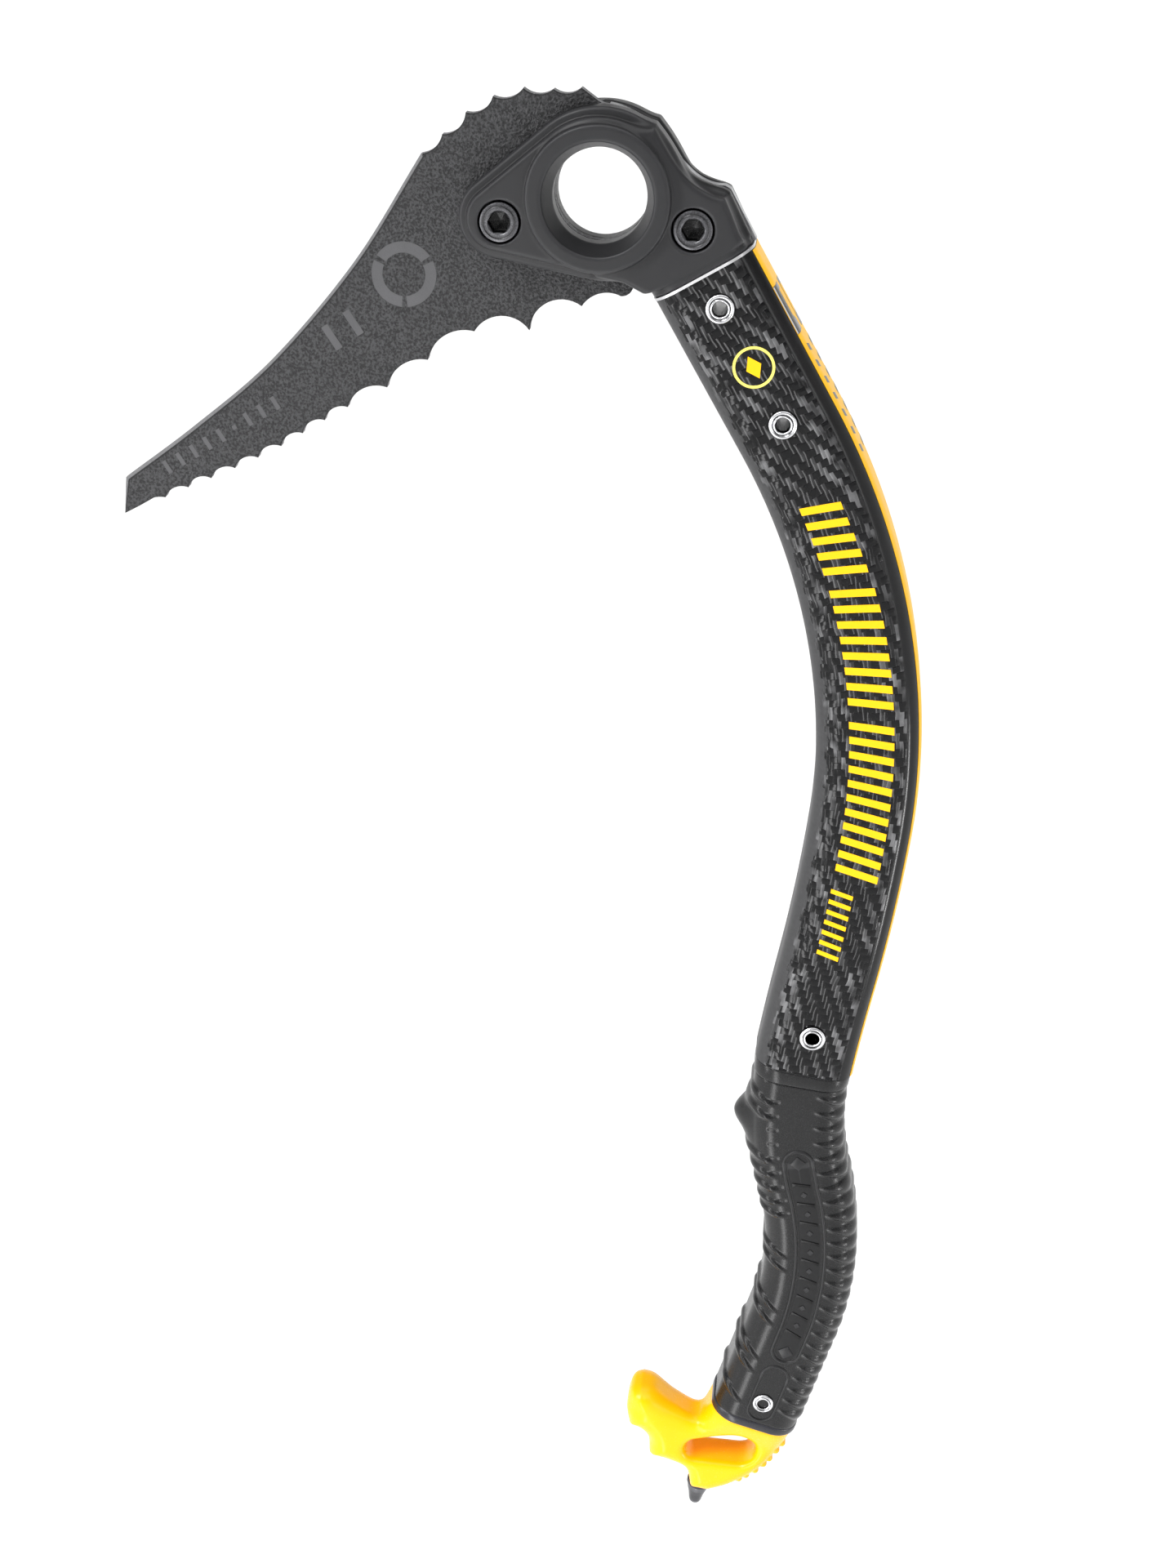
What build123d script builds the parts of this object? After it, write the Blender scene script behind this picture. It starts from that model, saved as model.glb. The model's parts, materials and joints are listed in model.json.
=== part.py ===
from build123d import *
from math import cos, degrees, acos, radians, sin
import os

os.makedirs("parts", exist_ok=True)

# Technical ice axe, in millimetres. The origin is the centre of the eye through the head. The pick
# points to -X, the shaft hangs towards -Z, and the tool is symmetric about the XZ plane.

# head
PLATE = 4.0                 # thickness of the pick and of the web behind it
EYE_R = 13.4                # straight throat of the eye
EYE_THROAT = 15.0           # length of the straight throat
EYE_MOUTH_R = 16.0          # mouth of the countersunk eye
BOSS_R = 20.5
BOSS_Y = 15.0               # half thickness of the head over the eye boss
BOSS_RIM = 0.8
CHEEK_Y = 13.0              # half thickness of the head over its cheeks
CHEEK_STEP_Y = 6.5          # half thickness of the thin rim beside the spine
FIT = 0.1                   # clearance between pieces that locate each other
SLIVER = 0.02               # gap kept between faces that meet
BIG = 300.0                 # reach of a block that cuts everything on one side
NOSE = (-28.7, -6.4)        # the cheek's rounded front end
NOSE_R = 11.4
LOBE = (0, 0.6)             # the cheek's round body about the eye
LOBE_R = 24.0
BOLT_SPOTS = {"front": (-28.0, -7.1), "rear": (26.7, -8.2)}
BOLT_HEAD_R = 5.6
BOLT_POCKET_R = 6.2
BOLT_SHANK_R = 3.0
BOLT_HEX = 5.5              # across flats
BOLT_SUNK = 0.4             # how far the bolt heads lie below the cheek's face
BOLT_RIM = 0.7
HEX_DEPTH = 3.6
POCKET_DEPTH = 7.4          # from the boss face down to the bolt heads' seats
PICK_RING_R = 18.6          # seat of the pick around the eye
PICK_LUG_R = 7.0            # lug of the pick round the rear bolt

# shaft: a straight start, then tangent bends, each a length and a turn of the heading
SHAFT_START = (28.6, -19.0)
SHAFT_HEADING = 29.8        # degrees from straight down, towards +X
SHAFT_BENDS = ((54, 0), (133, -36.2), (53, -5.0), (35, 2.4), (43, 23.1), (58, -30.8), (60, 0))
SHAFT_DEPTH = 32.0          # front to back
SHAFT_WIDTH = 26.0          # side to side
SHAFT_CORNER = 8.0
SHAFT_WALL = 2.5
STRIPE_REACH = 3.4          # how far the film comes round from the back
STRIPE_FILM = 0.2
STRIPE_GAP = 0.3            # from the film's ends to the head joint and to the grip's cuff
CORE_DEPTH = 26.4           # the reduced shaft under the grip
CORE_WIDTH = 21.0
CORE_CORNER = 7.0
CORE_WALL = 2.0

# stations along the shaft, measured from its start
JOINT = 2.7                 # where the shaft meets the head
GASKET = 0.8
TANG_START = -4.0
TANG_END = 62.0
GRIP_TOP = 272.5
CUFF_END = 277.5
RING_TOP = 416.2
GRIP_END = 419.4
STEP_LAP = 6.0              # solid lap where the shaft reduces to its core
SPIGOT = 24.0               # length of the pommel's spigot inside the core
HEAD_RIVETS = (12.5, 50.5)
LOWER_RIVET = 258.4
GRIP_RIVET = 407.2
RIVET_BODY_R = 2.6
RIVET_HOLE_R = 2.15
RIVET_HEAD_R = 4.3
RIVET_HEAD = 1.2
RIVET_RIM = 0.8             # rounding of the rivet heads
RIVET_CLEAR = 0.05
GRIP_RIVET_HEAD_R = 3.7
GRIP_RIVET_SUNK = 0.2       # how far the grip rivet's heads are let into their plates
BUSH_WALL = 1.6

# grip
GRIP_DEPTH = 30.2
GRIP_WIDTH = 26.6
GRIP_CORNER = 11.0
RIB_HEIGHT = 0.8
RIB_WIDTH = 2.4
RIB_FLANK = 23.0            # side to side size of the ribs, which run out on the grip's flanks
RIB_CORNER = 8.0
RIB_ROOT = 4.0              # how deep the ribs are rooted in the grip, both sides together
RIB_REACH = 10.0            # how far the ribs come round from the front or the back
BACK_TILT = 24.0            # degrees that the back ribs slant down towards the back
BACK_RIBS = [281.0 + 4.7 * i for i in range(28)]
TOP_RIBS = [281.5, 286.0]
FINGER_RIBS = [313.0 + 4.7 * i for i in range(5)]
PAIR_RIBS = [346.0 + 18.0 * i + 4.5 * j for i in range(4) for j in (0, 1)]
FRONT_RIBS = TOP_RIBS + FINGER_RIBS + PAIR_RIBS
BADGE_SPAN = (306.8, 383.4)
BADGE_WIDTH = 10.4
PLATE_SPAN = (395.4, 410.2)
PLATE_WIDTH = 10.0
TRIGGER_Y = 5.0
INSET = 0.9                 # depth that the badges and the rivet plates are let into the grip
BADGE_PROUD = 0.6
BADGE_RIM = 1.1
PLATE_PROUD = 0.4
PLATE_RIM = 0.9
CUFF_DEPTH = 31.6
CUFF_WIDTH = 26.2
CUFF_CORNER = 9.5
RING_DEPTH = 30.8
RING_WIDTH = 26.8

# pommel
POMMEL_Y = 8.0
HORN_Y = 9.5
SPIKE_TOP = (37.0, -457.2)
SPIKE_TILT = 8.0            # degrees, tip towards -X
SPIKE_R = 3.7
SPIKE_LENGTH = 10.2
SPIKE_SHANK_R = 1.9
INSERT_R = 3.0
INSERT_LENGTH = 11.5
WASHER = 1.2
COLLAR = 3.0                # height of the pommel's band under the grip's end ring
COLLAR_DEPTH = 29.6
COLLAR_WIDTH = 25.2


def station(s):
    """The point (x, z) and the heading in degrees at distance s along the shaft's centre line."""
    x, z = SHAFT_START
    heading = SHAFT_HEADING
    for length, turn in SHAFT_BENDS:
        run = min(s, length) if s > 0 else s
        mid = radians(heading + turn * run / length / 2)
        half = radians(turn * run / length / 2)
        chord = run * (sin(half) / half if half else 1)
        x += chord * sin(mid)
        z -= chord * cos(mid)
        heading += turn * run / length
        s -= run
        if s <= 0:
            break
    return x, z, heading


def section_plane(s):
    """The plane across the shaft at s: local X points to the tool's back, local Z down the shaft."""
    x, z, heading = station(s)
    a = radians(heading)
    return Plane(origin=(x, 0, z), x_dir=(cos(a), 0, sin(a)), z_dir=(sin(a), 0, -cos(a)))


def along_shaft(profile, s0, s1):
    """A profile, drawn about the centre line, carried along the shaft from s0 to s1."""
    solid = None
    start = 0
    for length, turn in SHAFT_BENDS:
        a = max(s0, start)
        b = min(s1, start + length)
        if s0 < 0 and start == 0:
            a = s0
        if b - a > 1e-6:
            face = section_plane(a) * profile
            if turn:
                radius = length / radians(abs(turn))
                side = -1 if turn < 0 else 1
                centre = section_plane(a).from_local_coords(Vector(side * radius, 0, 0))
                axis = Axis(tuple(centre), (0, -side, 0))
                piece = revolve(face, axis=axis, revolution_arc=abs(turn) * (b - a) / length)
            else:
                piece = extrude(face, amount=b - a)
            solid = piece if solid is None else solid + piece
        start += length
    return solid


def plate(face_xz, y0, y1):
    """A face drawn in x and z made into a plate between y0 and y1."""
    return extrude(Plane.XZ * face_xz, amount=y1 - y0).translate((0, y1, 0))


def bar(spot, radius, y0, y1):
    """A round bar along Y."""
    return plate(Pos(*spot) * Circle(radius), y0, y1)


def cone_y(spot, r0, r1, y0, y1):
    """A cone along Y, with radius r0 at y0 and r1 at y1."""
    turned = Rot(-90, 0, 0) * Cone(r0, r1, y1 - y0)
    return Pos(spot[0], (y0 + y1) / 2, spot[1]) * turned


def link(spot_a, r_a, spot_b, r_b):
    """The outline of a belt round two circles, filled."""
    ax, az = spot_a
    bx, bz = spot_b
    span = Vector(bx - ax, bz - az)
    lean = degrees(acos((r_a - r_b) / span.length))
    corners = []
    for sign in (1, -1):
        normal = span.normalized().rotate(Axis.Z, sign * lean)
        ends = [Vector(ax, az) + normal * r_a, Vector(bx, bz) + normal * r_b]
        corners += ends if sign == 1 else ends[::-1]
    belt = make_face(Polyline(*corners, close=True))
    return belt + Pos(ax, az) * Circle(r_a) + Pos(bx, bz) * Circle(r_b)


def scalloped(points):
    """Arcs from tooth point to tooth point; each point is x, z and the rise of the arc after it."""
    edges = []
    for (x0, z0, rise), (x1, z1, _) in zip(points, points[1:]):
        chord = Vector(x1 - x0, z1 - z0)
        left = Vector(-chord.Y, chord.X) * rise
        mid = Vector(x0, z0) + chord / 2 + left
        edges.append(ThreePointArc((x0, z0), (mid.X, mid.Y), (x1, z1)))
    return edges


def mirror_y(shape):
    return mirror(shape, about=Plane.XZ)


def save(name, *solids):
    shape = solids[0] if len(solids) == 1 else Compound(children=list(solids))
    export_step(shape, "parts/" + name + ".step")


# ---- pick -------------------------------------------------------------------------------------

# tooth points of the lower edge from the tip back, with the rise of each scallop over its chord
LOWER_TEETH = (
    (-137.0, -94.4, 0.05), (-133.4, -94.2, 0.20), (-126.0, -90.8, 0.23), (-118.7, -87.7, 0.22),
    (-111.1, -84.3, 0.22), (-103.8, -80.8, 0.22), (-96.5, -77.0, 0.22), (-89.7, -72.8, 0.22),
    (-82.8, -68.6, 0.22), (-75.7, -64.4, 0.21), (-63.6, -58.1, 0.20), (-51.2, -49.5, 0.21),
    (-37.2, -40.7, 0.27), (-21.0, -40.0, 0.30), (-5.7, -32.6, 0.19), (5.6, -29.4, -0.25),
    (9.2, -25.4, 0),
)
UPPER_TEETH = (
    (-5.8, 28.5, 0.18), (-13.6, 28.0, 0.18), (-22.2, 28.2, 0.18), (-30.8, 25.8, 0.20),
    (-38.6, 21.3, 0.20), (-45.4, 15.2, 0.16), (-51.7, 9.7, 0),
)
PICK_BROW = ((-51.7, 9.7), (-72.3, -21.5), (-98.3, -51.0), (-122.8, -71.6), (-145.4, -88.4))
PICK_TIP = (-146.4, -99.6)


def pick_seat(grow):
    """The pick's hidden seat: a ring round the eye with a lug for the rear bolt."""
    return link((0, 0), PICK_RING_R + grow, BOLT_SPOTS["rear"], PICK_LUG_R + grow)


def pick_heel(grow):
    """The part of the pick just behind the eye's lower side."""
    return make_face(Polyline((-12, -12), (12 + grow, -12), (9.2 + grow, -25.4), (2, -29), close=True))


def make_pick():
    edges = scalloped(LOWER_TEETH)
    edges.append(Polyline(LOWER_TEETH[-1][:2], (9.2, 0), (0.5, 8), (0.5, 24.2)))
    edges.append(ThreePointArc((0.5, 24.2), (-3.2, 25.6), (-5.8, 28.5)))
    edges += scalloped(UPPER_TEETH)
    edges.append(Spline(*PICK_BROW))
    edges.append(Polyline(PICK_BROW[-1], PICK_TIP, LOWER_TEETH[0][:2]))
    face = make_face(edges) + pick_seat(0)
    body = plate(face, -PLATE / 2, PLATE / 2)
    body -= bar((0, 0), EYE_R, -PLATE, PLATE)
    for spot in BOLT_SPOTS.values():
        body -= bar(spot, BOLT_SHANK_R + FIT, -PLATE, PLATE)
    brow = [e for e in body.edges() if e.geom_type == GeomType.BSPLINE]
    return chamfer(brow, 0.9)


# ---- head -------------------------------------------------------------------------------------

# the spine from the notch above the eye down to the shaft
SPINE = ((2.2, 24.4), (12.3, 19.9), (19.4, 13.0), (26.2, 5.6), (35.0, 2.5))


def shaft_bore(gap=0.0):
    """The shaft's bore, less a gap all round."""
    wall = SHAFT_WALL + gap
    return RectangleRounded(SHAFT_DEPTH - 2 * wall, SHAFT_WIDTH - 2 * wall, SHAFT_CORNER - SHAFT_WALL)


def core_bore(gap=0.0):
    """The bore of the reduced shaft under the grip, less a gap all round."""
    wall = CORE_WALL + gap
    return RectangleRounded(CORE_DEPTH - 2 * wall, CORE_WIDTH - 2 * wall, CORE_CORNER - CORE_WALL)


def core_outline():
    """The hole through everything that slides onto the reduced shaft."""
    return RectangleRounded(CORE_DEPTH + FIT, CORE_WIDTH + FIT, CORE_CORNER + FIT / 2)


def joint_plane(offset):
    """The half space above the head joint, as a big block; offset moves it down the shaft."""
    return section_plane(offset) * Box(BIG, BIG, BIG, align=(Align.CENTER, Align.CENTER, Align.MAX))


def spine_face():
    """The head's outline behind the eye, from the spine to well inside the shaft joint."""
    top = Spline(*SPINE)
    low = Polyline((35.0, 2.5), (36.6, 1.6), (46.5, -16.5), (30, -45), (15.4, -29.4), (14.2, -26.9),
                   (10.4, -24.2), (2, -20), (2.2, 24.4))
    return make_face([top, low])


def tang(y0, y1, gap):
    """The tongue that fills the shaft's bore between y0 and y1."""
    inner = shaft_bore(gap)
    slab = Box(BIG, y1 - y0, BIG).translate((0, (y0 + y1) / 2, 0))
    return along_shaft(inner, TANG_START, TANG_END) & slab


def rivet_clearances(stations):
    holes = None
    for s in stations:
        x, z, _ = station(s)
        hole = bar((x, z), RIVET_BODY_R + RIVET_CLEAR, -BIG, BIG)
        holes = hole if holes is None else holes + hole
    return holes


def make_web():
    face = spine_face() - pick_seat(FIT) - pick_heel(FIT)
    body = plate(face, -PLATE / 2, PLATE / 2) & joint_plane(JOINT - GASKET)
    body += tang(-PLATE / 2, PLATE / 2, FIT)
    body -= rivet_clearances(HEAD_RIVETS)
    body -= plate(pick_seat(FIT) + pick_heel(FIT), -PLATE, PLATE)
    return max(body.solids(), key=lambda s: s.volume)


def make_cheek():
    """The cheek on the +Y side; the other one is its mirror image."""
    inner = PLATE / 2 + SLIVER
    lobe = link(NOSE, NOSE_R, LOBE, LOBE_R)
    shoulder = make_face(Polyline((2, -21), (14.2, -26.9), (15.4, -29.4), (30, -45), (46, -16), (37.4, -3.2),
                                  (33.5, 1.4), (25.6, 5.2), (20.3, 11.1), (10, 10), close=True))
    low = plate(lobe + spine_face(), inner, CHEEK_STEP_Y) & joint_plane(JOINT - GASKET)
    high = plate(lobe - spine_face() + shoulder + Circle(BOSS_R + BOSS_RIM), inner, CHEEK_Y)
    high = high & joint_plane(JOINT - GASKET)
    body = low + high
    body += bar((0, 0), BOSS_R, inner, BOSS_Y)
    outer = [e for e in body.edges().filter_by(GeomType.CIRCLE)
             if abs(e.center().Y - BOSS_Y) < 0.01]
    body = fillet(outer, BOSS_RIM)
    body += tang(inner, SHAFT_WIDTH / 2, FIT)
    body -= bar((0, 0), EYE_R, 0, BOSS_Y)
    body -= cone_y((0, 0), EYE_R, EYE_MOUTH_R, EYE_THROAT / 2, BOSS_Y)
    for spot in BOLT_SPOTS.values():
        body -= bar(spot, BOLT_SHANK_R + FIT, 0, BOSS_Y)
        body -= bar(spot, BOLT_POCKET_R, BOSS_Y - POCKET_DEPTH, BOSS_Y)
    body -= rivet_clearances(HEAD_RIVETS)
    return max(body.solids(), key=lambda s: s.volume)


def make_gasket():
    ring = RectangleRounded(SHAFT_DEPTH + 4 * FIT, SHAFT_WIDTH + 4 * FIT, SHAFT_CORNER) - shaft_bore()
    return along_shaft(ring, JOINT - GASKET + SLIVER / 2, JOINT - SLIVER / 2)


def hex_bar(spot, flats, y0, y1):
    return plate(Pos(*spot) * RegularPolygon(flats / 2, 6, major_radius=False), y0, y1)


def bolt_head(spot):
    """The round head that a bolt or its sleeve nut has in the +Y cheek."""
    top = CHEEK_Y - BOLT_SUNK
    head = bar(spot, BOLT_HEAD_R, BOSS_Y - POCKET_DEPTH, top)
    rim = [e for e in head.edges().filter_by(GeomType.CIRCLE) if abs(e.center().Y - top) < SLIVER]
    return chamfer(rim, BOLT_RIM)


def make_bolt(spot):
    """A low-head socket bolt, entered from the -Y side."""
    seat = POCKET_DEPTH - BOSS_Y
    head = mirror_y(bolt_head(spot))
    head -= hex_bar(spot, BOLT_HEX, -CHEEK_Y, HEX_DEPTH - CHEEK_Y)
    return head + bar(spot, BOLT_SHANK_R, seat, CHEEK_Y - BOLT_SHANK_R)


def make_nut(spot):
    """A round nut in the far cheek, on the end of the bolt."""
    return bolt_head(spot) - bar(spot, BOLT_SHANK_R + SLIVER, 0, BOSS_Y)


# ---- shaft ------------------------------------------------------------------------------------

def make_tube():
    """The hollow shaft, reduced to a thinner core under the grip."""
    outer = RectangleRounded(SHAFT_DEPTH, SHAFT_WIDTH, SHAFT_CORNER)
    core = RectangleRounded(CORE_DEPTH, CORE_WIDTH, CORE_CORNER)
    body = along_shaft(outer - shaft_bore(), JOINT, GRIP_TOP - STEP_LAP)
    body += along_shaft(outer - core_bore(), GRIP_TOP - STEP_LAP, GRIP_TOP)
    body += along_shaft(core - core_bore(), GRIP_TOP, GRIP_END)
    return body - rivet_clearances((*HEAD_RIVETS, LOWER_RIVET, GRIP_RIVET))


def make_stripe():
    """The thin film that wraps the shaft's back."""
    film = STRIPE_FILM
    outer = RectangleRounded(SHAFT_DEPTH + 2 * film, SHAFT_WIDTH + 2 * film, SHAFT_CORNER + film)
    inner = RectangleRounded(SHAFT_DEPTH + SLIVER, SHAFT_WIDTH + SLIVER, SHAFT_CORNER + SLIVER / 2)
    back = Pos(SHAFT_DEPTH / 2 + film, 0) * Rectangle(2 * STRIPE_REACH, SHAFT_WIDTH)
    return along_shaft((outer - inner) & back, JOINT + STRIPE_GAP, GRIP_TOP - STRIPE_GAP)


def make_rivet(s, half, head_r):
    """A tubular rivet across the shaft, with a flared head outside half on each side."""
    x, z, _ = station(s)
    top = half + RIVET_HEAD
    head = bar((x, z), head_r, half + SLIVER, top)
    rim = [e for e in head.edges().filter_by(GeomType.CIRCLE) if abs(e.center().Y - top) < SLIVER]
    head = fillet(rim, RIVET_RIM)
    body = bar((x, z), RIVET_BODY_R, -half - FIT, half + FIT) + head + mirror_y(head)
    return body - bar((x, z), RIVET_HOLE_R, -top, top)


def make_bush(s):
    """The spacer sleeve that keeps the lower rivet from crushing the hollow shaft."""
    x, z, _ = station(s)
    half = SHAFT_WIDTH / 2 - SHAFT_WALL - SLIVER
    hole = RIVET_BODY_R + RIVET_CLEAR
    return bar((x, z), hole + BUSH_WALL, -half, half) - bar((x, z), hole, -half, half)


# ---- grip -------------------------------------------------------------------------------------

def stadium(span, width, y0, y1):
    """A strip with round ends that follows the shaft's centre line, between y0 and y1."""
    depth = abs(y1 - y0)
    side = -1 if y0 + y1 > 0 else 1
    strip = Pos(0, side * abs(y0 + y1) / 2) * Rectangle(width, depth)
    body = along_shaft(strip, *span)
    for s in span:
        x, z, _ = station(s)
        body += bar((x, z), width / 2, min(y0, y1), max(y0, y1))
    return body


def make_ribs():
    """The moulded ribs: slanting slices of a skin a little larger than the grip."""
    depth = GRIP_DEPTH + 2 * RIB_HEIGHT
    skin = RectangleRounded(depth, RIB_FLANK, RIB_CORNER) - RectangleRounded(
        GRIP_DEPTH - RIB_ROOT, RIB_FLANK - RIB_ROOT, RIB_CORNER - RIB_ROOT / 2)
    skin = along_shaft(skin, CUFF_END + FIT, RING_TOP - FIT)
    slices = []
    for side, spots in ((1, BACK_RIBS), (-1, FRONT_RIBS)):
        for s in spots:
            edge = Pos(side * (depth - RIB_REACH) / 2, 0, 0)
            tilt = -BACK_TILT if side > 0 else 0
            slices.append(section_plane(s) * edge * Rot(0, tilt, 0) * Box(RIB_REACH, BIG, RIB_WIDTH))
    return skin & Part(children=slices)


def make_trigger():
    """The finger rest moulded on the front of the grip's top."""
    face = make_face([
        Polyline((56, -288), (50.6, -291.5)),
        Spline((50.6, -291.5), (47.6, -295.6), (45.4, -300.4), (47.0, -305.0), (49.8, -309.4),
               (51.4, -316.0)),
        Polyline((51.4, -316.0), (57, -316), (56, -288)),
    ])
    body = plate(face, -TRIGGER_Y, TRIGGER_Y)
    rims = [e for e in body.edges() if e.geom_type == GeomType.BSPLINE]
    return fillet(rims, TRIGGER_Y / 2)


def make_sleeve():
    outline = RectangleRounded(GRIP_DEPTH, GRIP_WIDTH, GRIP_CORNER)
    body = along_shaft(outline, CUFF_END + SLIVER, RING_TOP - SLIVER)
    body += make_ribs()
    body += make_trigger()
    body -= joint_plane(CUFF_END + SLIVER)
    body -= along_shaft(core_outline(), CUFF_END, RING_TOP)
    face_y = GRIP_WIDTH / 2
    for side in (-1, 1):
        for span, width in ((BADGE_SPAN, BADGE_WIDTH), (PLATE_SPAN, PLATE_WIDTH)):
            body -= stadium(span, width + 2 * SLIVER, side * (face_y - INSET), side * (face_y + INSET))
    body -= rivet_clearances((GRIP_RIVET,))
    return max(body.solids(), key=lambda s: s.volume)


def make_cuff():
    """The smooth band at the top of the grip."""
    outline = RectangleRounded(CUFF_DEPTH, CUFF_WIDTH, CUFF_CORNER)
    return along_shaft(outline - core_outline(), GRIP_TOP + SLIVER, CUFF_END - SLIVER)


def make_end_ring():
    """The smooth ring between the grip and the pommel."""
    outline = RectangleRounded(RING_DEPTH, RING_WIDTH, GRIP_CORNER)
    return along_shaft(outline - core_outline(), RING_TOP, GRIP_END - SLIVER)


def make_badge():
    """The raised oval panel on the +Y side of the grip, with a rim round a sunken field."""
    face_y = GRIP_WIDTH / 2
    body = stadium(BADGE_SPAN, BADGE_WIDTH, face_y - INSET + SLIVER, face_y + BADGE_PROUD)
    return body - stadium(BADGE_SPAN, BADGE_WIDTH - 2 * BADGE_RIM, face_y + FIT, face_y + INSET)


def make_rivet_plate():
    """The oval seat of the grip rivet on the +Y side."""
    face_y = GRIP_WIDTH / 2
    body = stadium(PLATE_SPAN, PLATE_WIDTH, face_y - INSET + SLIVER, face_y + PLATE_PROUD)
    body -= stadium(PLATE_SPAN, PLATE_WIDTH - 2 * PLATE_RIM, face_y - GRIP_RIVET_SUNK, face_y + INSET)
    return body - rivet_clearances((GRIP_RIVET,))


# ---- pommel -----------------------------------------------------------------------------------

POMMEL_SADDLE = ((41.0, -418.2), (36.4, -425.6), (28.5, -421.8), (21.0, -415.6), (16.0, -414.0))
POMMEL_TIP = ((16.0, -414.0), (12.4, -416.0), (10.9, -424.0), (11.8, -431.0))
POMMEL_THROAT = ((11.8, -431.0), (15.8, -432.6), (18.6, -436.5), (19.2, -443.8))
POMMEL_SOLE = ((19.2, -443.8), (27.0, -445.6), (32.4, -448.6), (34.2, -456.4))
POMMEL_BELLY = ((40.6, -457.4), (49.0, -453.6), (58.6, -446.2), (65.8, -435.6), (69.8, -426.8))
LOOP_LOW = (36.6, -438.4)   # the loop is a tapered slot round two circles
LOOP_LOW_R = 4.6
LOOP_HIGH = (50.6, -437.0)
LOOP_HIGH_R = 6.6


def make_pommel():
    """The moulded end piece: finger horn, open loop, spike boss and the spigot in the shaft."""
    outline = make_face([
        Spline(*POMMEL_SADDLE), Spline(*POMMEL_TIP), Spline(*POMMEL_THROAT), Spline(*POMMEL_SOLE),
        Polyline(POMMEL_SOLE[-1], POMMEL_BELLY[0]), Spline(*POMMEL_BELLY),
        Polyline(POMMEL_BELLY[-1], POMMEL_SADDLE[0]),
    ])
    body = plate(outline, -HORN_Y, HORN_Y)
    plan = make_face(Polyline((5, HORN_Y - 1.5), (18, HORN_Y), (32, POMMEL_Y), (75, POMMEL_Y + 1),
                              (75, -POMMEL_Y - 1), (32, -POMMEL_Y), (18, -HORN_Y),
                              (5, 1.5 - HORN_Y), close=True))
    body = body & Pos(0, 0, -470) * extrude(plan, amount=60)
    front = make_face(Polyline((HORN_Y, -410), (HORN_Y, -426), (POMMEL_Y, -434), (5.0, -460),
                               (-5.0, -460), (-POMMEL_Y, -434), (-HORN_Y, -426), (-HORN_Y, -410),
                               close=True))
    body = body & extrude(Plane.YZ * front, amount=90)
    end = section_plane(GRIP_END)
    body += end * extrude(RectangleRounded(COLLAR_DEPTH, COLLAR_WIDTH, GRIP_CORNER), amount=COLLAR)
    body -= joint_plane(GRIP_END)
    body -= plate(link(LOOP_LOW, LOOP_LOW_R, LOOP_HIGH, LOOP_HIGH_R), -HORN_Y, HORN_Y)
    body += along_shaft(core_bore(FIT), GRIP_END - SPIGOT, GRIP_END + SLIVER)
    body -= rivet_clearances((GRIP_RIVET,))
    body -= spike_place() * extrude(Circle(INSERT_R + SLIVER), amount=INSERT_LENGTH + SLIVER)
    return max(body.solids(), key=lambda s: s.volume)


def spike_place():
    """The frame at the spike's shoulder: local -Z points down its axis."""
    return Pos(SPIKE_TOP[0], 0, SPIKE_TOP[1]) * Rot(0, SPIKE_TILT, 0)


def make_spike():
    """A stubby steel point with a cylindrical shank."""
    shank = SPIKE_SHANK_R
    profile = make_face(Polyline((0, 10), (shank, 10), (shank, -WASHER), (SPIKE_R, -WASHER),
                                 (SPIKE_R - 0.3, -4.8), (1.0, 0.4 - SPIKE_LENGTH), (0, -SPIKE_LENGTH),
                                 close=True))
    return spike_place() * revolve(Plane.XZ * profile, axis=Axis.Z)


def make_spike_washer():
    """The ring between the spike's shoulder and the pommel."""
    ring = Circle(SPIKE_R + 4 * FIT) - Circle(SPIKE_SHANK_R + RIVET_CLEAR)
    return spike_place() * Pos(0, 0, SLIVER - WASHER) * extrude(ring, amount=WASHER - 2 * SLIVER)


def make_spike_insert():
    """The threaded metal sleeve moulded into the pommel for the spike."""
    return spike_place() * extrude(Circle(INSERT_R) - Circle(SPIKE_SHANK_R + SLIVER), amount=INSERT_LENGTH)


def main():
    save("pick", make_pick())
    cheek = make_cheek()
    save("head_cheek_right", cheek)
    save("head_cheek_left", mirror_y(cheek))
    save("head_web", make_web())
    save("head_gasket", make_gasket())
    for name, spot in BOLT_SPOTS.items():
        save("pick_bolt_" + name, make_bolt(spot))
        save("pick_nut_" + name, make_nut(spot))
    save("shaft_tube", make_tube())
    save("back_stripe", make_stripe())
    for number, s in enumerate(HEAD_RIVETS, 1):
        save("upper_rivet_" + str(number), make_rivet(s, SHAFT_WIDTH / 2, RIVET_HEAD_R))
    save("lower_rivet", make_rivet(LOWER_RIVET, SHAFT_WIDTH / 2, RIVET_HEAD_R))
    save("grip_rivet", make_rivet(GRIP_RIVET, GRIP_WIDTH / 2 - GRIP_RIVET_SUNK, GRIP_RIVET_HEAD_R))
    save("rivet_bush", make_bush(LOWER_RIVET))
    save("grip_sleeve", make_sleeve())
    save("grip_cuff", make_cuff())
    save("grip_end_ring", make_end_ring())
    badge = make_badge()
    save("grip_badge_right", badge)
    save("grip_badge_left", mirror_y(badge))
    rivet_plate = make_rivet_plate()
    save("rivet_plate_right", rivet_plate)
    save("rivet_plate_left", mirror_y(rivet_plate))
    save("pommel_body", make_pommel())
    save("spike", make_spike())
    save("spike_washer", make_spike_washer())
    save("spike_insert", make_spike_insert())


main()
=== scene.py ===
import json
from math import cos, pi, radians, sin

import bpy
import numpy as np
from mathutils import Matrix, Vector
from mathutils.geometry import tessellate_polygon
from numpy.linalg import norm


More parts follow.
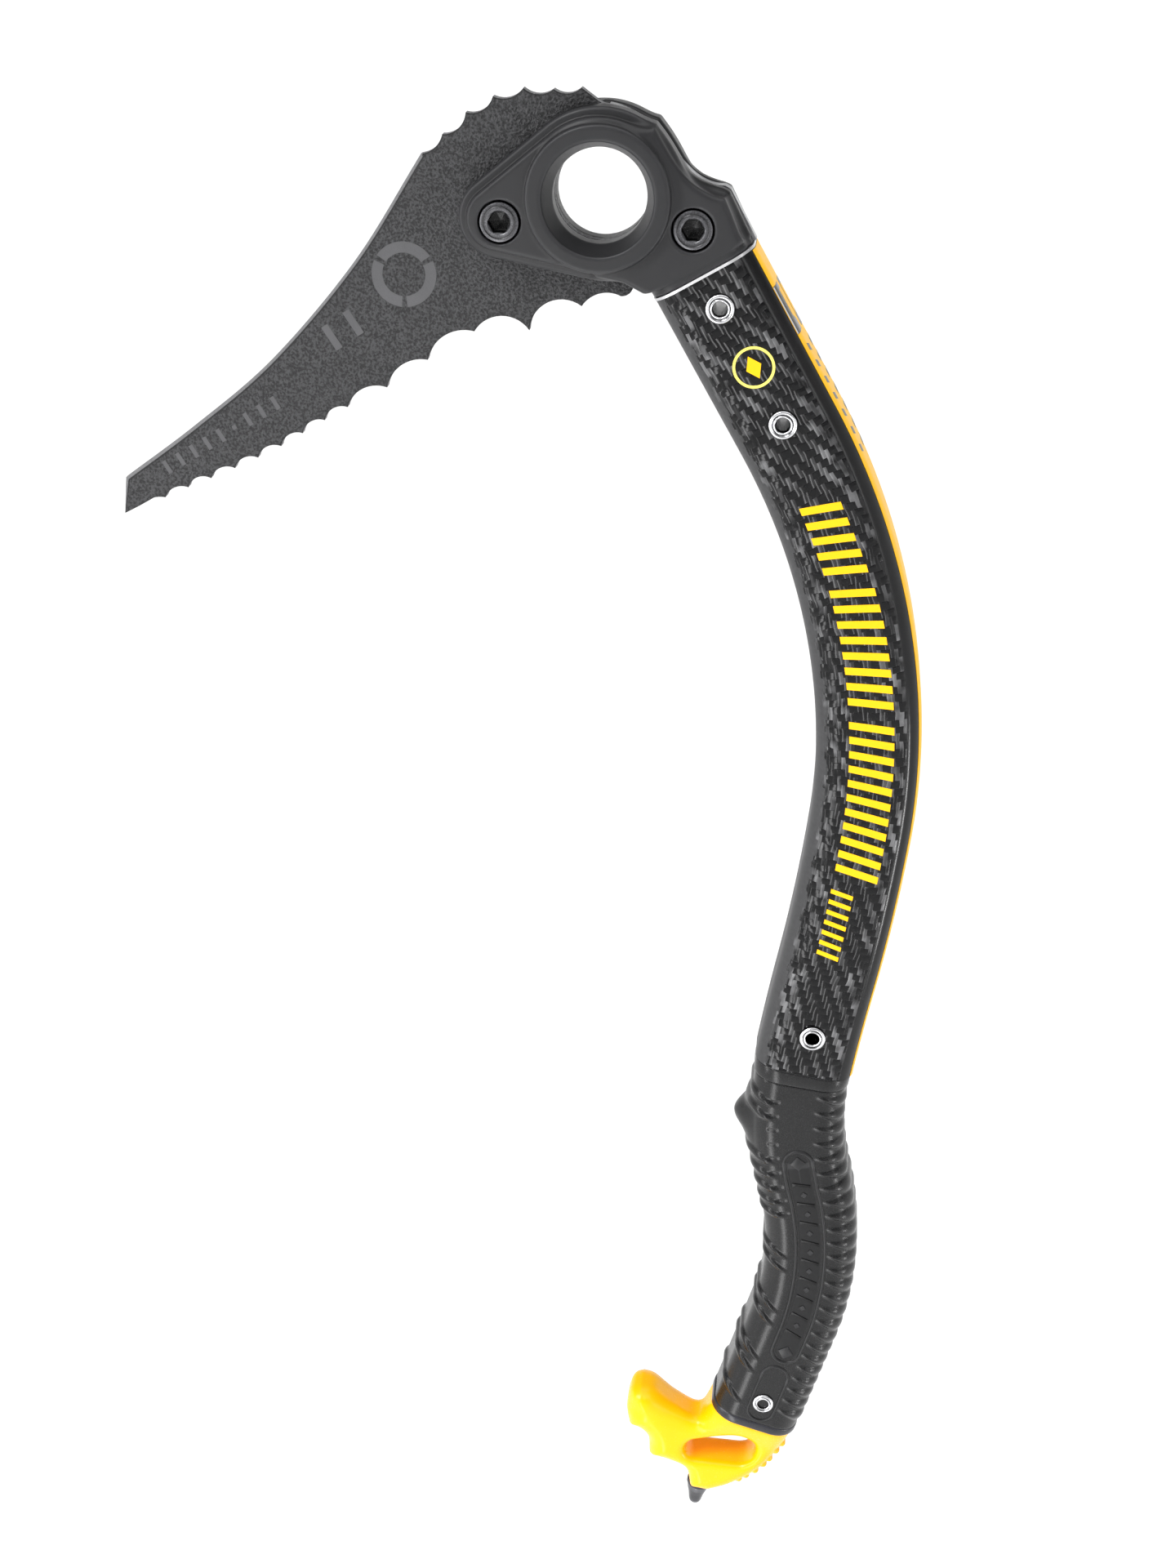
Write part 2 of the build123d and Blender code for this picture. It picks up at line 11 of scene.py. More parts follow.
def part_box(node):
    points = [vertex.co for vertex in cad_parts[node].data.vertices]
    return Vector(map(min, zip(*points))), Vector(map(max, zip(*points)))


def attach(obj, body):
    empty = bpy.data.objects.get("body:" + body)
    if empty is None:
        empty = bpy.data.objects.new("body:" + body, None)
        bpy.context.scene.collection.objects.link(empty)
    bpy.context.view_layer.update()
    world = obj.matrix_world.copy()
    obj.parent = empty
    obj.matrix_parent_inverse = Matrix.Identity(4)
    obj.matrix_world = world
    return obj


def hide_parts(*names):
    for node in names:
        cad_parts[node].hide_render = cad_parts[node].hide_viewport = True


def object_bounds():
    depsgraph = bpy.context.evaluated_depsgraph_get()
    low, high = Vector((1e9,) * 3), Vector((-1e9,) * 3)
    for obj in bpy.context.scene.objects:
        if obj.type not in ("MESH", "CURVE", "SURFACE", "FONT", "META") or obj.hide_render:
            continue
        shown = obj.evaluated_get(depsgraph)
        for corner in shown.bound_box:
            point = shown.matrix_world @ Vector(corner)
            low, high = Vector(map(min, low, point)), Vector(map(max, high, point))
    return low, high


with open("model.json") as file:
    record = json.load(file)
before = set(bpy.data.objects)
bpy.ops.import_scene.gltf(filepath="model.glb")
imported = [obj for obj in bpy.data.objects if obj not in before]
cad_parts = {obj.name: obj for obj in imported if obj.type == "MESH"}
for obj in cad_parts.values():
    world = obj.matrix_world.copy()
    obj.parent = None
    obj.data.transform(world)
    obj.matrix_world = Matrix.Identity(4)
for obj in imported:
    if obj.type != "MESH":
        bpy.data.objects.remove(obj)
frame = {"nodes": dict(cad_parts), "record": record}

# Technical ice axe. Shapes are worked out in millimetres in the CAD frame and become metres in add_piece.
# The pick points to -X, the shaft hangs towards -Z, and the camera looks from the -Y side.
MM = 0.001
CAD_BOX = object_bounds()


def middle_of(node):
    """The middle of a CAD node's box as (x, z) in millimetres."""
    low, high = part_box(node)
    return (low[0] + high[0]) / 2 / MM, (low[2] + high[2]) / 2 / MM


# ---- driving sizes, the same as the CAD model's ----

SHAFT_START = (28.6, -19.0)
SHAFT_HEADING = 29.8
SHAFT_BENDS = ((54, 0), (133, -36.2), (53, -5.0), (35, 2.4), (43, 23.1), (58, -30.8), (60, 0))
SHAFT_DEPTH = 32.0
SHAFT_WIDTH = 26.0
SHAFT_CORNER = 8.0
SIDE_MIDDLE = 25.57         # distance round the shaft from the middle of its back to the middle of a side
JOINT = 2.7
GASKET = 0.8
GRIP_TOP = 272.5
CUFF_END = 277.5
RING_TOP = 416.2
GRIP_END = 419.4
GRIP_DEPTH = 30.2
GRIP_WIDTH = 26.6
GRIP_CORNER = 8.5
EYE_R = 13.4
EYE_MOUTH_R = 16.0
BOSS_R = 20.5
BOSS_Y = 15.0
BOLTS = {"front": middle_of("pick_bolt_front"), "rear": middle_of("pick_bolt_rear")}
RIVETS = {"upper_rivet_1": 12.5, "upper_rivet_2": 50.5, "lower_rivet": 258.4, "grip_rivet": 407.2}


# ---- the shaft's centre line ----

def line(s):
    """Centre line x and z and the heading in radians at the stations s."""
    s = np.asarray(s, float)
    x = np.full(s.shape, SHAFT_START[0])
    z = np.full(s.shape, SHAFT_START[1])
    heading = np.full(s.shape, radians(SHAFT_HEADING))
    start = 0
    for length, turn in SHAFT_BENDS:
        run = np.clip(s - start, 0 if start else -100, length)
        half = radians(turn) * run / length / 2
        chord = run * np.sinc(half / pi)
        x = x + chord * np.sin(heading + half)
        z = z - chord * np.cos(heading + half)
        heading = heading + 2 * half
        start += length
    return x, z, heading


def on_shaft(s, lateral, y):
    """Points at stations s, lateral towards the tool's back, and y across it."""
    x, z, heading = line(s)
    s, lateral, y = np.broadcast_arrays(s, lateral, y)
    return np.stack([x + lateral * np.cos(heading), y, z + lateral * np.sin(heading)], -1)


def section(depth, width, corner):
    """A rounded rectangle as a function: from the distance round it, starting in the middle of the back and
    going to +Y first, to the points (lateral, y) and the outward normals. Also its whole length."""
    a, b = depth / 2 - corner, width / 2 - corner
    turns = np.linspace(0, pi / 2, 33)
    points, normals = [(depth / 2, 0.0)], [(1.0, 0.0)]
    for quarter, (sx, sy) in enumerate(((1, 1), (-1, 1), (-1, -1), (1, -1))):
        for t in turns + quarter * pi / 2:
            points.append((sx * a + corner * cos(t), sy * b + corner * sin(t)))
            normals.append((cos(t), sin(t)))
    points.append((depth / 2, 0.0))
    normals.append((1.0, 0.0))
    points, normals = np.array(points), np.array(normals)
    far = np.concatenate([[0], np.cumsum(norm(np.diff(points, axis=0), axis=1))])

    def at(u):
        u = np.mod(u, far[-1])
        point = np.stack([np.interp(u, far, points[:, k]) for k in (0, 1)], -1)
        normal = np.stack([np.interp(u, far, normals[:, k]) for k in (0, 1)], -1)
        return point, normal / norm(normal, axis=-1, keepdims=True)

    return at, far[-1]


SHAFT_SECTION, SHAFT_ROUND = section(SHAFT_DEPTH, SHAFT_WIDTH, SHAFT_CORNER)


def shaft_skin(s, u, lift):
    """Points on the shaft's skin at stations s and distances u round it, raised by lift."""
    point, normal = SHAFT_SECTION(u)
    out = point + normal * np.expand_dims(np.broadcast_to(lift, u.shape), -1)
    return on_shaft(s, out[..., 0], out[..., 1])


# ---- meshes ----

def volume(verts, faces):
    """Signed volume of a closed mesh; positive when its faces point outwards."""
    total = 0.0
    for f in faces:
        corners = verts[list(f)]
        a, b, c = corners[:1], corners[1:-1], corners[2:]
        total += np.sum(np.cross(b, c) * a)
    return total


def new_object(name, data):
    made = bpy.data.objects.new(name, data)
    bpy.context.scene.collection.objects.link(made)
    return made


def add_piece(name, verts, faces, finish, nodes=(), slot=None, flow=None, crease=40, mirror=False):
    """A new piece from points in millimetres, with a finish from M. slot is not used. flow is a (u, v) pair
    for each corner of each face."""
    verts = np.array(verts, float)
    if mirror:
        verts[:, 1] *= -1
        faces = [f[::-1] for f in faces]
    mesh = bpy.data.meshes.new(name)
    mesh.from_pydata((verts * MM).tolist(), [], [tuple(int(i) for i in f) for f in faces])
    if flow is not None:
        layer = mesh.uv_layers.new(name="Flow")
        layer.data.foreach_set("uv", np.asarray(flow, float).ravel())
    if volume(verts, faces) < 0:
        mesh.flip_normals()
    mesh.shade_smooth()
    mesh.set_sharp_from_angle(angle=radians(crease))
    mesh.materials.append(M[finish])
    obj = new_object(name, mesh)
    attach(obj, "root")
    if nodes:
        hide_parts(*nodes)
    slot or finish
    return obj


def grid_faces(rows, columns, closed):
    """Quads of a grid of points, row by row; closed joins the last column to the first."""
    i = np.arange(rows - 1)[:, None]
    j = np.arange(columns if closed else columns - 1)[None, :]
    k = (j + 1) % columns
    quads = np.stack(np.broadcast_arrays(i * columns + j, i * columns + k, (i + 1) * columns + k,
                                         (i + 1) * columns + j), -1)
    return quads.reshape(-1, 4)


def tube_mesh(points):
    """A closed mesh from rings of points (rows, columns, 3), with a flat cap at each end."""
    rows, columns = points.shape[:2]
    caps = [range(columns)[::-1], range((rows - 1) * columns, rows * columns)]
    return points.reshape(-1, 3), [*grid_faces(rows, columns, True), *caps]


def hoop_mesh(points):
    """A closed mesh from rings of points (rows, columns, 3), the last ring joined to the first."""
    rows, columns = points.shape[:2]
    return points.reshape(-1, 3), grid_faces(rows + 1, columns, True) % (rows * columns)


def joined(parts):
    """One mesh from several pairs of points and faces."""
    faces, start = [], 0
    for verts, sides in parts:
        faces += [[i + start for i in f] for f in sides]
        start += len(verts)
    return np.concatenate([verts for verts, _ in parts]), faces


def tube_flow(s, u, whole):
    """Corner (u, v) values for tube_mesh: distance round and station, both in millimetres."""
    rows, columns = len(s), len(u)
    quads = grid_faces(rows, columns, True)
    v = s[quads // columns]
    w = u[quads % columns].copy()
    last = (quads % columns == 0) & ((quads[:, :1] % columns) == columns - 1)
    w[last] = whole
    caps = np.zeros((2 * columns, 2))
    return np.concatenate([np.stack([w, v], -1).reshape(-1, 2), caps])


def shell_mesh(outer, inner):
    """A closed thin shell between two grids of points of the same shape."""
    rows, columns = outer.shape[:2]
    count = rows * columns
    top = grid_faces(rows, columns, False)
    faces = [*top, *(top[:, ::-1] + count)]
    grid = np.arange(count).reshape(rows, columns)
    rim = np.concatenate([grid[0], grid[1:, -1], grid[-1, -2::-1], grid[-2:0:-1, 0]])
    for a, b in zip(rim, np.roll(rim, -1)):
        faces.append((b, a, a + count, b + count))
    return np.concatenate([outer.reshape(-1, 3), inner.reshape(-1, 3)]), faces


def film(name, corners, lift, thick, finish, nodes=()):
    """A thin patch on the shaft's skin, with a point about every millimetre. corners are four
    (station, distance round) pairs in order."""
    a, b, c, d = (np.array(p, float) for p in corners)
    rows = max(2, int(max(norm(d - a), norm(c - b))) + 1)
    columns = max(2, int(max(norm(b - a), norm(c - d))) + 1)
    p = np.linspace(0, 1, rows)[:, None, None]
    q = np.linspace(0, 1, columns)[None, :, None]
    spot = (1 - p) * ((1 - q) * a + q * b) + p * ((1 - q) * d + q * c)
    outer = shaft_skin(spot[..., 0], spot[..., 1], lift + thick)
    inner = shaft_skin(spot[..., 0], spot[..., 1], lift)
    verts, faces = shell_mesh(outer, inner)
    flow = spot.reshape(-1, 2)[:, ::-1][np.concatenate(faces) % (rows * columns)]
    add_piece(name, verts, faces, finish, nodes, "yellow_film", flow)


def lathe(rings, place, count=64):
    """Rings of points from (radius or function of the angle, height); place maps (a, b, h) to a point."""
    turn = np.arange(count) * 2 * pi / count
    points = []
    for radius, height in rings:
        r = radius(turn) if callable(radius) else np.full(count, float(radius))
        points.append(place(r * np.cos(turn), r * np.sin(turn), height))
    return np.array(points)


def hexagon(flats):
    """The radius of a hexagon at an angle."""
    return lambda turn: flats / 2 / np.cos(np.mod(turn, pi / 3) - pi / 6)


# ---- solids from distance fields ----

def smooth_union(a, b, k):
    h = np.clip(0.5 + 0.5 * (b - a) / k, 0, 1)
    return b + (a - b) * h - k * h * (1 - h)


def smooth_cut(a, b, k):
    """The part of a that is inside b too, with the edge between them rounded."""
    return -smooth_union(-a, -b, k)


def rounded(u, v, edge):
    """Distance to two faces that meet in an edge of that radius, u and v being measured from its axis."""
    return np.minimum(np.maximum(u, v), 0) + np.hypot(np.maximum(u, 0), np.maximum(v, 0)) - edge


def slab(plan, t, low, high, edge):
    """A plate with plan distance plan between the heights low and high, its edges rounded by edge."""
    return rounded(plan + edge, np.maximum(t - high, low - t) + edge, edge)


PLAN_STEP = 0.3             # spacing of the distance tables
SETTLE_ROUNDS = 3
GRADIENT_STEP = 0.05


def link_plan(x, z, a, ra, b, rb):
    """Distance to the outline of a belt round two circles."""
    bx, bz = b[0] - a[0], b[1] - a[1]
    length = np.hypot(bx, bz)
    along = ((x - a[0]) * bx + (z - a[1]) * bz) / length
    across = np.abs((z - a[1]) * bx - (x - a[0]) * bz) / length
    lean = (ra - rb) / length
    flat = np.sqrt(1 - lean * lean)
    reach = flat * along - lean * across
    start = np.hypot(along, across) - ra
    end = np.hypot(along - length, across) - rb
    side = flat * across + lean * along - ra
    return np.where(reach < 0, start, np.where(reach > flat * length, end, side))


def polygon_plan(points, low, high):
    """A function giving the signed distance to a closed outline, looked up in a fine table."""
    points = np.array(points, float)
    step = PLAN_STEP
    gx = np.arange(low[0], high[0] + step, step)
    gz = np.arange(low[1], high[1] + step, step)
    x, z = np.meshgrid(gx, gz, indexing="ij")
    best = np.full(x.shape, 1e9)
    inside = np.zeros(x.shape, bool)
    for (ax, az), (bx, bz) in zip(points, np.roll(points, -1, axis=0)):
        ex, ez = bx - ax, bz - az
        t = np.clip(((x - ax) * ex + (z - az) * ez) / (ex * ex + ez * ez + 1e-12), 0, 1)
        best = np.minimum(best, (x - ax - t * ex) ** 2 + (z - az - t * ez) ** 2)
        if az != bz:
            crosses = ((az > z) != (bz > z)) & (x < ax + (z - az) * ex / ez)
            inside ^= crosses
    table = np.where(inside, -1, 1) * np.sqrt(best)

    def look_up(x, z):
        i = np.clip((x - gx[0]) / step, 0, len(gx) - 1.001)
        j = np.clip((z - gz[0]) / step, 0, len(gz) - 1.001)
        i0, j0 = i.astype(int), j.astype(int)
        p, q = i - i0, j - j0
        near = table[i0, j0] * (1 - q) + table[i0, j0 + 1] * q
        far = table[i0 + 1, j0] * (1 - q) + table[i0 + 1, j0 + 1] * q
        return near * (1 - p) + far * p

    return look_up


def curve(points, count=12):
    """A smooth curve through the points, with count steps between each two."""
    points = np.array(points, float)
    p = np.concatenate([2 * points[:1] - points[1:2], points, 2 * points[-1:] - points[-2:-1]])
    t = np.linspace(0, 1, count, endpoint=False)[:, None]
    out = []
    for a, b, c, d in zip(p, p[1:], p[2:], p[3:]):
        out.append(0.5 * (2 * b + (c - a) * t + (2 * a - 5 * b + 4 * c - d) * t ** 2
                          + (3 * b - a - 3 * c + d) * t ** 3))
    return np.concatenate([*out, points[-1:]])


def net(field, low, high, step):
    """The zero surface of field(x, y, z) in a box, as points and quads pointing outwards."""
    low = np.array(low, float)
    n = np.ceil((np.array(high) - low) / step).astype(int) + 1
    axes = [low[k] + step * np.arange(n[k]) for k in range(3)]
    f = field(axes[0][:, None, None], axes[1][None, :, None], axes[2][None, None, :])
    f = np.broadcast_to(f, tuple(n))
    cells = n - 1
    total = np.zeros((int(np.prod(cells)), 3))
    hits = np.zeros(len(total))
    cuts = []
    for a in range(3):
        b, c = [k for k in range(3) if k != a]
        f0 = f[tuple(slice(0, -1) if k == a else slice(None) for k in range(3))]
        f1 = f[tuple(slice(1, None) if k == a else slice(None) for k in range(3))]
        cut = (f0 < 0) != (f1 < 0)
        spot = np.argwhere(cut)
        point = spot.astype(float)
        point[:, a] += f0[cut] / (f0[cut] - f1[cut])
        for db in (0, -1):
            for dc in (0, -1):
                cell = spot.copy()
                cell[:, b] += db
                cell[:, c] += dc
                fits = np.all((cell >= 0) & (cell < cells), axis=1)
                flat = np.ravel_multi_index(tuple(cell[fits].T), tuple(cells))
                hits += np.bincount(flat, minlength=len(hits))
                for k in range(3):
                    total[:, k] += np.bincount(flat, weights=point[fits, k], minlength=len(hits))
        cuts.append((spot, (f0 < 0)[cut], a, b, c))
    used = hits > 0
    number = np.full(len(hits), -1)
    number[used] = np.arange(used.sum())
    verts = low + step * total[used] / hits[used][:, None]
    quads = []
    for spot, inner, a, b, c in cuts:
        fits = (spot[:, b] > 0) & (spot[:, c] > 0) & (spot[:, b] < cells[b]) & (spot[:, c] < cells[c])
        ring = []
        for db, dc in ((-1, -1), (0, -1), (0, 0), (-1, 0)):
            cell = spot[fits].copy()
            cell[:, b] += db
            cell[:, c] += dc
            ring.append(number[np.ravel_multi_index(tuple(cell.T), tuple(cells))])
        quad = np.stack(ring, 1)
        turned = inner[fits] if a != 1 else ~inner[fits]
        quad[~turned] = quad[~turned][:, ::-1]
        quads.append(quad)
    quads = np.concatenate(quads)
    return settle(verts, quads, field, step), quads


def settle(verts, quads, field, step):
    """Evens out the points of a net and brings them back to the surface."""
    edges = np.concatenate([quads[:, [k, (k + 1) % 4]] for k in range(4)])
    both = np.concatenate([edges, edges[:, ::-1]])
    count = np.bincount(both[:, 0], minlength=len(verts))[:, None]
    for turn in range(SETTLE_ROUNDS):
        if turn < SETTLE_ROUNDS - 1:
            mean = np.stack([np.bincount(both[:, 0], weights=verts[both[:, 1], k], minlength=len(verts))
                             for k in range(3)], 1) / count
            verts = 0.5 * verts + 0.5 * mean
        for _ in range(2):
            f = field(*verts.T)
            grad = np.stack([(field(*(verts + d).T) - field(*(verts - d).T)) / (2 * GRADIENT_STEP)
                             for d in GRADIENT_STEP * np.eye(3)], 1)
            move = f / np.maximum((grad ** 2).sum(1), 0.25)
            verts = verts - np.clip(move, -step, step)[:, None] * grad
    return verts


# ---- materials ----

class Shader:
    """A node material with short calls for its nodes."""

    def __init__(self, name):
        self.material = bpy.data.materials.new(name)
        self.material.use_nodes = True
        self.tree = self.material.node_tree
        self.main = self.tree.nodes["Principled BSDF"]
        self.place = self.tree.nodes.new("ShaderNodeTexCoord").outputs["Object"]

    def node(self, kind, inputs=None, **settings):
        made = self.tree.nodes.new("ShaderNode" + kind)
        for key, value in settings.items():
            setattr(made, key, value)
        for key, value in (inputs or {}).items():
            self.join(value, made.inputs[key])
        return made

    def join(self, value, socket):
        if isinstance(value, bpy.types.NodeSocket):
            self.tree.links.new(value, socket)
        else:
            socket.default_value = value

    def math(self, operation, a, b=0.0, clamp=False):
        return self.node("Math", {0: a, 1: b}, operation=operation, use_clamp=clamp).outputs[0]

    def noise(self, scale, detail=2.0, rough=0.5, place=None, stretch=None):
        where = place or self.place
        if stretch:
            where = self.node("Mapping", {"Vector": where, "Scale": stretch}).outputs[0]
        return self.node("TexNoise", {"Vector": where, "Scale": scale, "Detail": detail,
                                      "Roughness": rough}).outputs["Fac"]

    def ramp(self, value, low, high, start, end):
        """start below low, end above high."""
        return self.node("MapRange", {"Value": value, "From Min": low, "From Max": high,
                                      "To Min": start, "To Max": end}).outputs[0]

    def between(self, value, low, high):
        return self.ramp(value, low, high, 0.0, 1.0)

    def depth(self):
        """Distance from the tool's middle plane."""
        return self.math("ABSOLUTE", self.node("SeparateXYZ", {0: self.place}).outputs[1])

    def blend(self, factor, a, b):
        made = self.node("Mix", data_type="RGBA")
        self.join(factor, made.inputs[0])
        for value, index in ((a, 6), (b, 7)):
            self.join((*value, 1.0) if isinstance(value, tuple) and len(value) == 3 else value,
                      made.inputs[index])
        return made.outputs[2]

    def bump(self, height, distance, strength=1.0, before=None):
        inputs = {"Height": height, "Distance": distance, "Strength": strength}
        if before is not None:
            inputs["Normal"] = before
        return self.node("Bump", inputs).outputs[0]

    def set(self, **values):
        for key, value in values.items():
            self.join(value, self.main.inputs[key.replace("_", " ")])
        return self


def shade(colour, factor):
    return tuple(min(c * factor, 1.0) for c in colour)


def plain(name, colour, rough, metal=0.0, grain=3000.0, depth=0.00002, mottle=0.15, specular=0.5,
          streak=None, edge=1.0, hollow=1.0, inside=None):
    """A finish with fine grain, a mottled colour, a painted highlight on sharp edges and painted shade in
    hollows. inside is a pair: the distance from the middle plane, in millimetres, within which painted
    shade makes the colour darker (bores, sockets and deep steps), and the factor by which it is."""
    m = Shader(name)
    fine = m.noise(grain, 3.0, 0.6, stretch=streak)
    broad = m.noise(90.0, 3.0)
    tone = m.blend(broad, shade(colour, 1 - mottle), shade(colour, 1 + mottle))
    point = m.node("NewGeometry").outputs["Pointiness"]
    # a painted highlight on convex edges, from pointiness and grain
    if edge != 1.0:
        edge_highlight = m.math("MULTIPLY", m.between(point, 0.515, 0.58), m.math("ADD", fine, 0.3), clamp=True)
        tone = m.blend(edge_highlight, tone, shade(colour, edge))
    # painted shade in concave hollows, from pointiness
    if hollow != 1.0:
        tone = m.blend(m.between(point, 0.49, 0.44), tone, shade(colour, hollow))
    # painted shade within the given distance of the middle plane, in bores and sockets
    if inside:
        deep = m.between(m.depth(), inside[0] * MM, (inside[0] - 0.3) * MM)
        tone = m.blend(deep, tone, shade(colour, inside[1]))
    m.set(Base_Color=tone, Metallic=metal, Specular_IOR_Level=specular, Normal=m.bump(fine, depth),
          Roughness=m.ramp(fine, 0.3, 0.7, rough * 0.85, rough * 1.15))
    return m.material


def coated_steel():
    """Cast grain: dark pits between raised lighter grains."""
    m = Shader("coated_steel")
    grain = m.noise(1350.0, 2.0, 0.6)
    fine = m.noise(5200.0, 2.0)
    broad = m.noise(60.0, 2.0)
    pits = m.between(grain, 0.40, 0.60)
    base = m.blend(broad, (0.042, 0.042, 0.044), (0.058, 0.058, 0.061))
    cast = m.blend(pits, (0.020, 0.020, 0.021), base)
    # the faces end in a line of painted shade, and the blade's edges between them are brighter with a
    # painted highlight
    cast = m.blend(m.between(m.depth(), 1.97 * MM, 1.90 * MM), cast, (0.014, 0.014, 0.015))
    cast = m.blend(m.between(m.depth(), 1.66 * MM, 1.58 * MM), cast, (0.16, 0.16, 0.165))
    m.set(Base_Color=cast, Metallic=0.15, Specular_IOR_Level=0.35, Roughness=m.ramp(pits, 0, 1, 0.65, 0.44),
          Normal=m.bump(fine, 0.00002, before=m.bump(grain, 0.0007)))
    return m.material


TOW_ROUND = 1.25            # size of the weave's cells, in millimetres
TOW_ALONG = 2.4
FRONT_BAND = 13.2           # from the middle of a side round to the plain band at the front
BACK_BAND = 11.8            # and to the plain band beside the yellow film


def carbon():
    """Glossy twill: tows in cells of the skin's own (round, along) millimetres, with plain bands."""
    m = Shader("carbon")
    flow = m.node("UVMap", uv_map="Flow").outputs[0]
    split = m.node("SeparateXYZ", {0: flow})
    sway = m.math("SUBTRACT", m.noise(0.11, 2.0, place=flow), 0.5)
    drift = m.math("SUBTRACT", m.noise(0.09, 2.0, place=flow), 0.5)
    u = m.math("DIVIDE", m.math("ADD", split.outputs[0], m.math("MULTIPLY", sway, 2.0)), TOW_ROUND)
    v = m.math("DIVIDE", m.math("ADD", split.outputs[1], m.math("MULTIPLY", drift, 4.0)), TOW_ALONG)
    i = m.math("FLOOR", u)
    j = m.math("FLOOR", v)
    step = m.math("FLOORED_MODULO", m.math("SUBTRACT", i, j), 4.0)
    warp = m.math("LESS_THAN", step, 1.5)
    # a float covers two cells: number it by its column and by where its pair of cells begins
    start = m.math("SUBTRACT", j, m.math("SUBTRACT", 1.0, step))
    cell = m.node("CombineXYZ", {0: i, 1: m.node("Mix", {0: warp, 2: j, 3: start}).outputs[0]}).outputs[0]
    chance = m.node("TexWhiteNoise", {"Vector": cell}, noise_dimensions="3D").outputs[0]
    crown = m.math("MULTIPLY", m.node("Mix", {0: warp, 2: m.math("PINGPONG", v, 0.5),
                                              3: m.math("PINGPONG", u, 0.5)}).outputs[0], 2.0)
    fibre = m.noise(1.0, 3.0, 0.7, place=flow, stretch=(9.0, 0.8, 1.0))
    patch = m.between(m.noise(0.13, 2.0, place=flow), 0.40, 0.62)
    # how far towards the front from the middle of the side, both sides alike
    side = m.math("SUBTRACT", m.math("PINGPONG", split.outputs[0], SHAFT_ROUND / 2), SIDE_MIDDLE)
    # painted sheen: the warp floats are painted lighter, fading to a third of that towards the middle of
    # each side
    zone = m.ramp(m.math("ABSOLUTE", side), 2.5, 7.0, 0.3, 1.0)
    lit = m.math("MULTIPLY", m.math("MULTIPLY", warp, m.between(chance, 0.05, 0.8)), patch)
    lit = m.math("MULTIPLY", m.math("MULTIPLY", lit, zone), m.math("ADD", fibre, 0.45), clamp=True)
    woven = m.blend(lit, (0.0045, 0.0045, 0.005), (0.150, 0.150, 0.154))
    stair = m.math("ADD", side, m.math("MULTIPLY", m.math("SUBTRACT", step, 1.5), 0.45))
    front = m.between(stair, FRONT_BAND - 0.15, FRONT_BAND + 0.15)
    back = m.between(m.math("MULTIPLY", side, -1.0), BACK_BAND - 0.2, BACK_BAND + 0.2)
    band = m.math("ADD", front, back, clamp=True)
    rub = m.noise(0.7, 3.0, place=flow)
    plain_tone = m.blend(rub, (0.030, 0.030, 0.031), (0.056, 0.056, 0.058))
    m.set(Base_Color=m.blend(front, m.blend(back, woven, (0.007, 0.007, 0.0075)), plain_tone))
    relief = m.math("MULTIPLY", m.math("POWER", crown, 0.5), m.math("SUBTRACT", 1.0, band))
    m.set(Roughness=m.ramp(front, 0, 1, 0.15, 0.45), Specular_IOR_Level=0.26,
          Normal=m.bump(relief, 0.00022, 0.8))
    return m.material


YELLOW = (1.0, 0.525, 0.004)
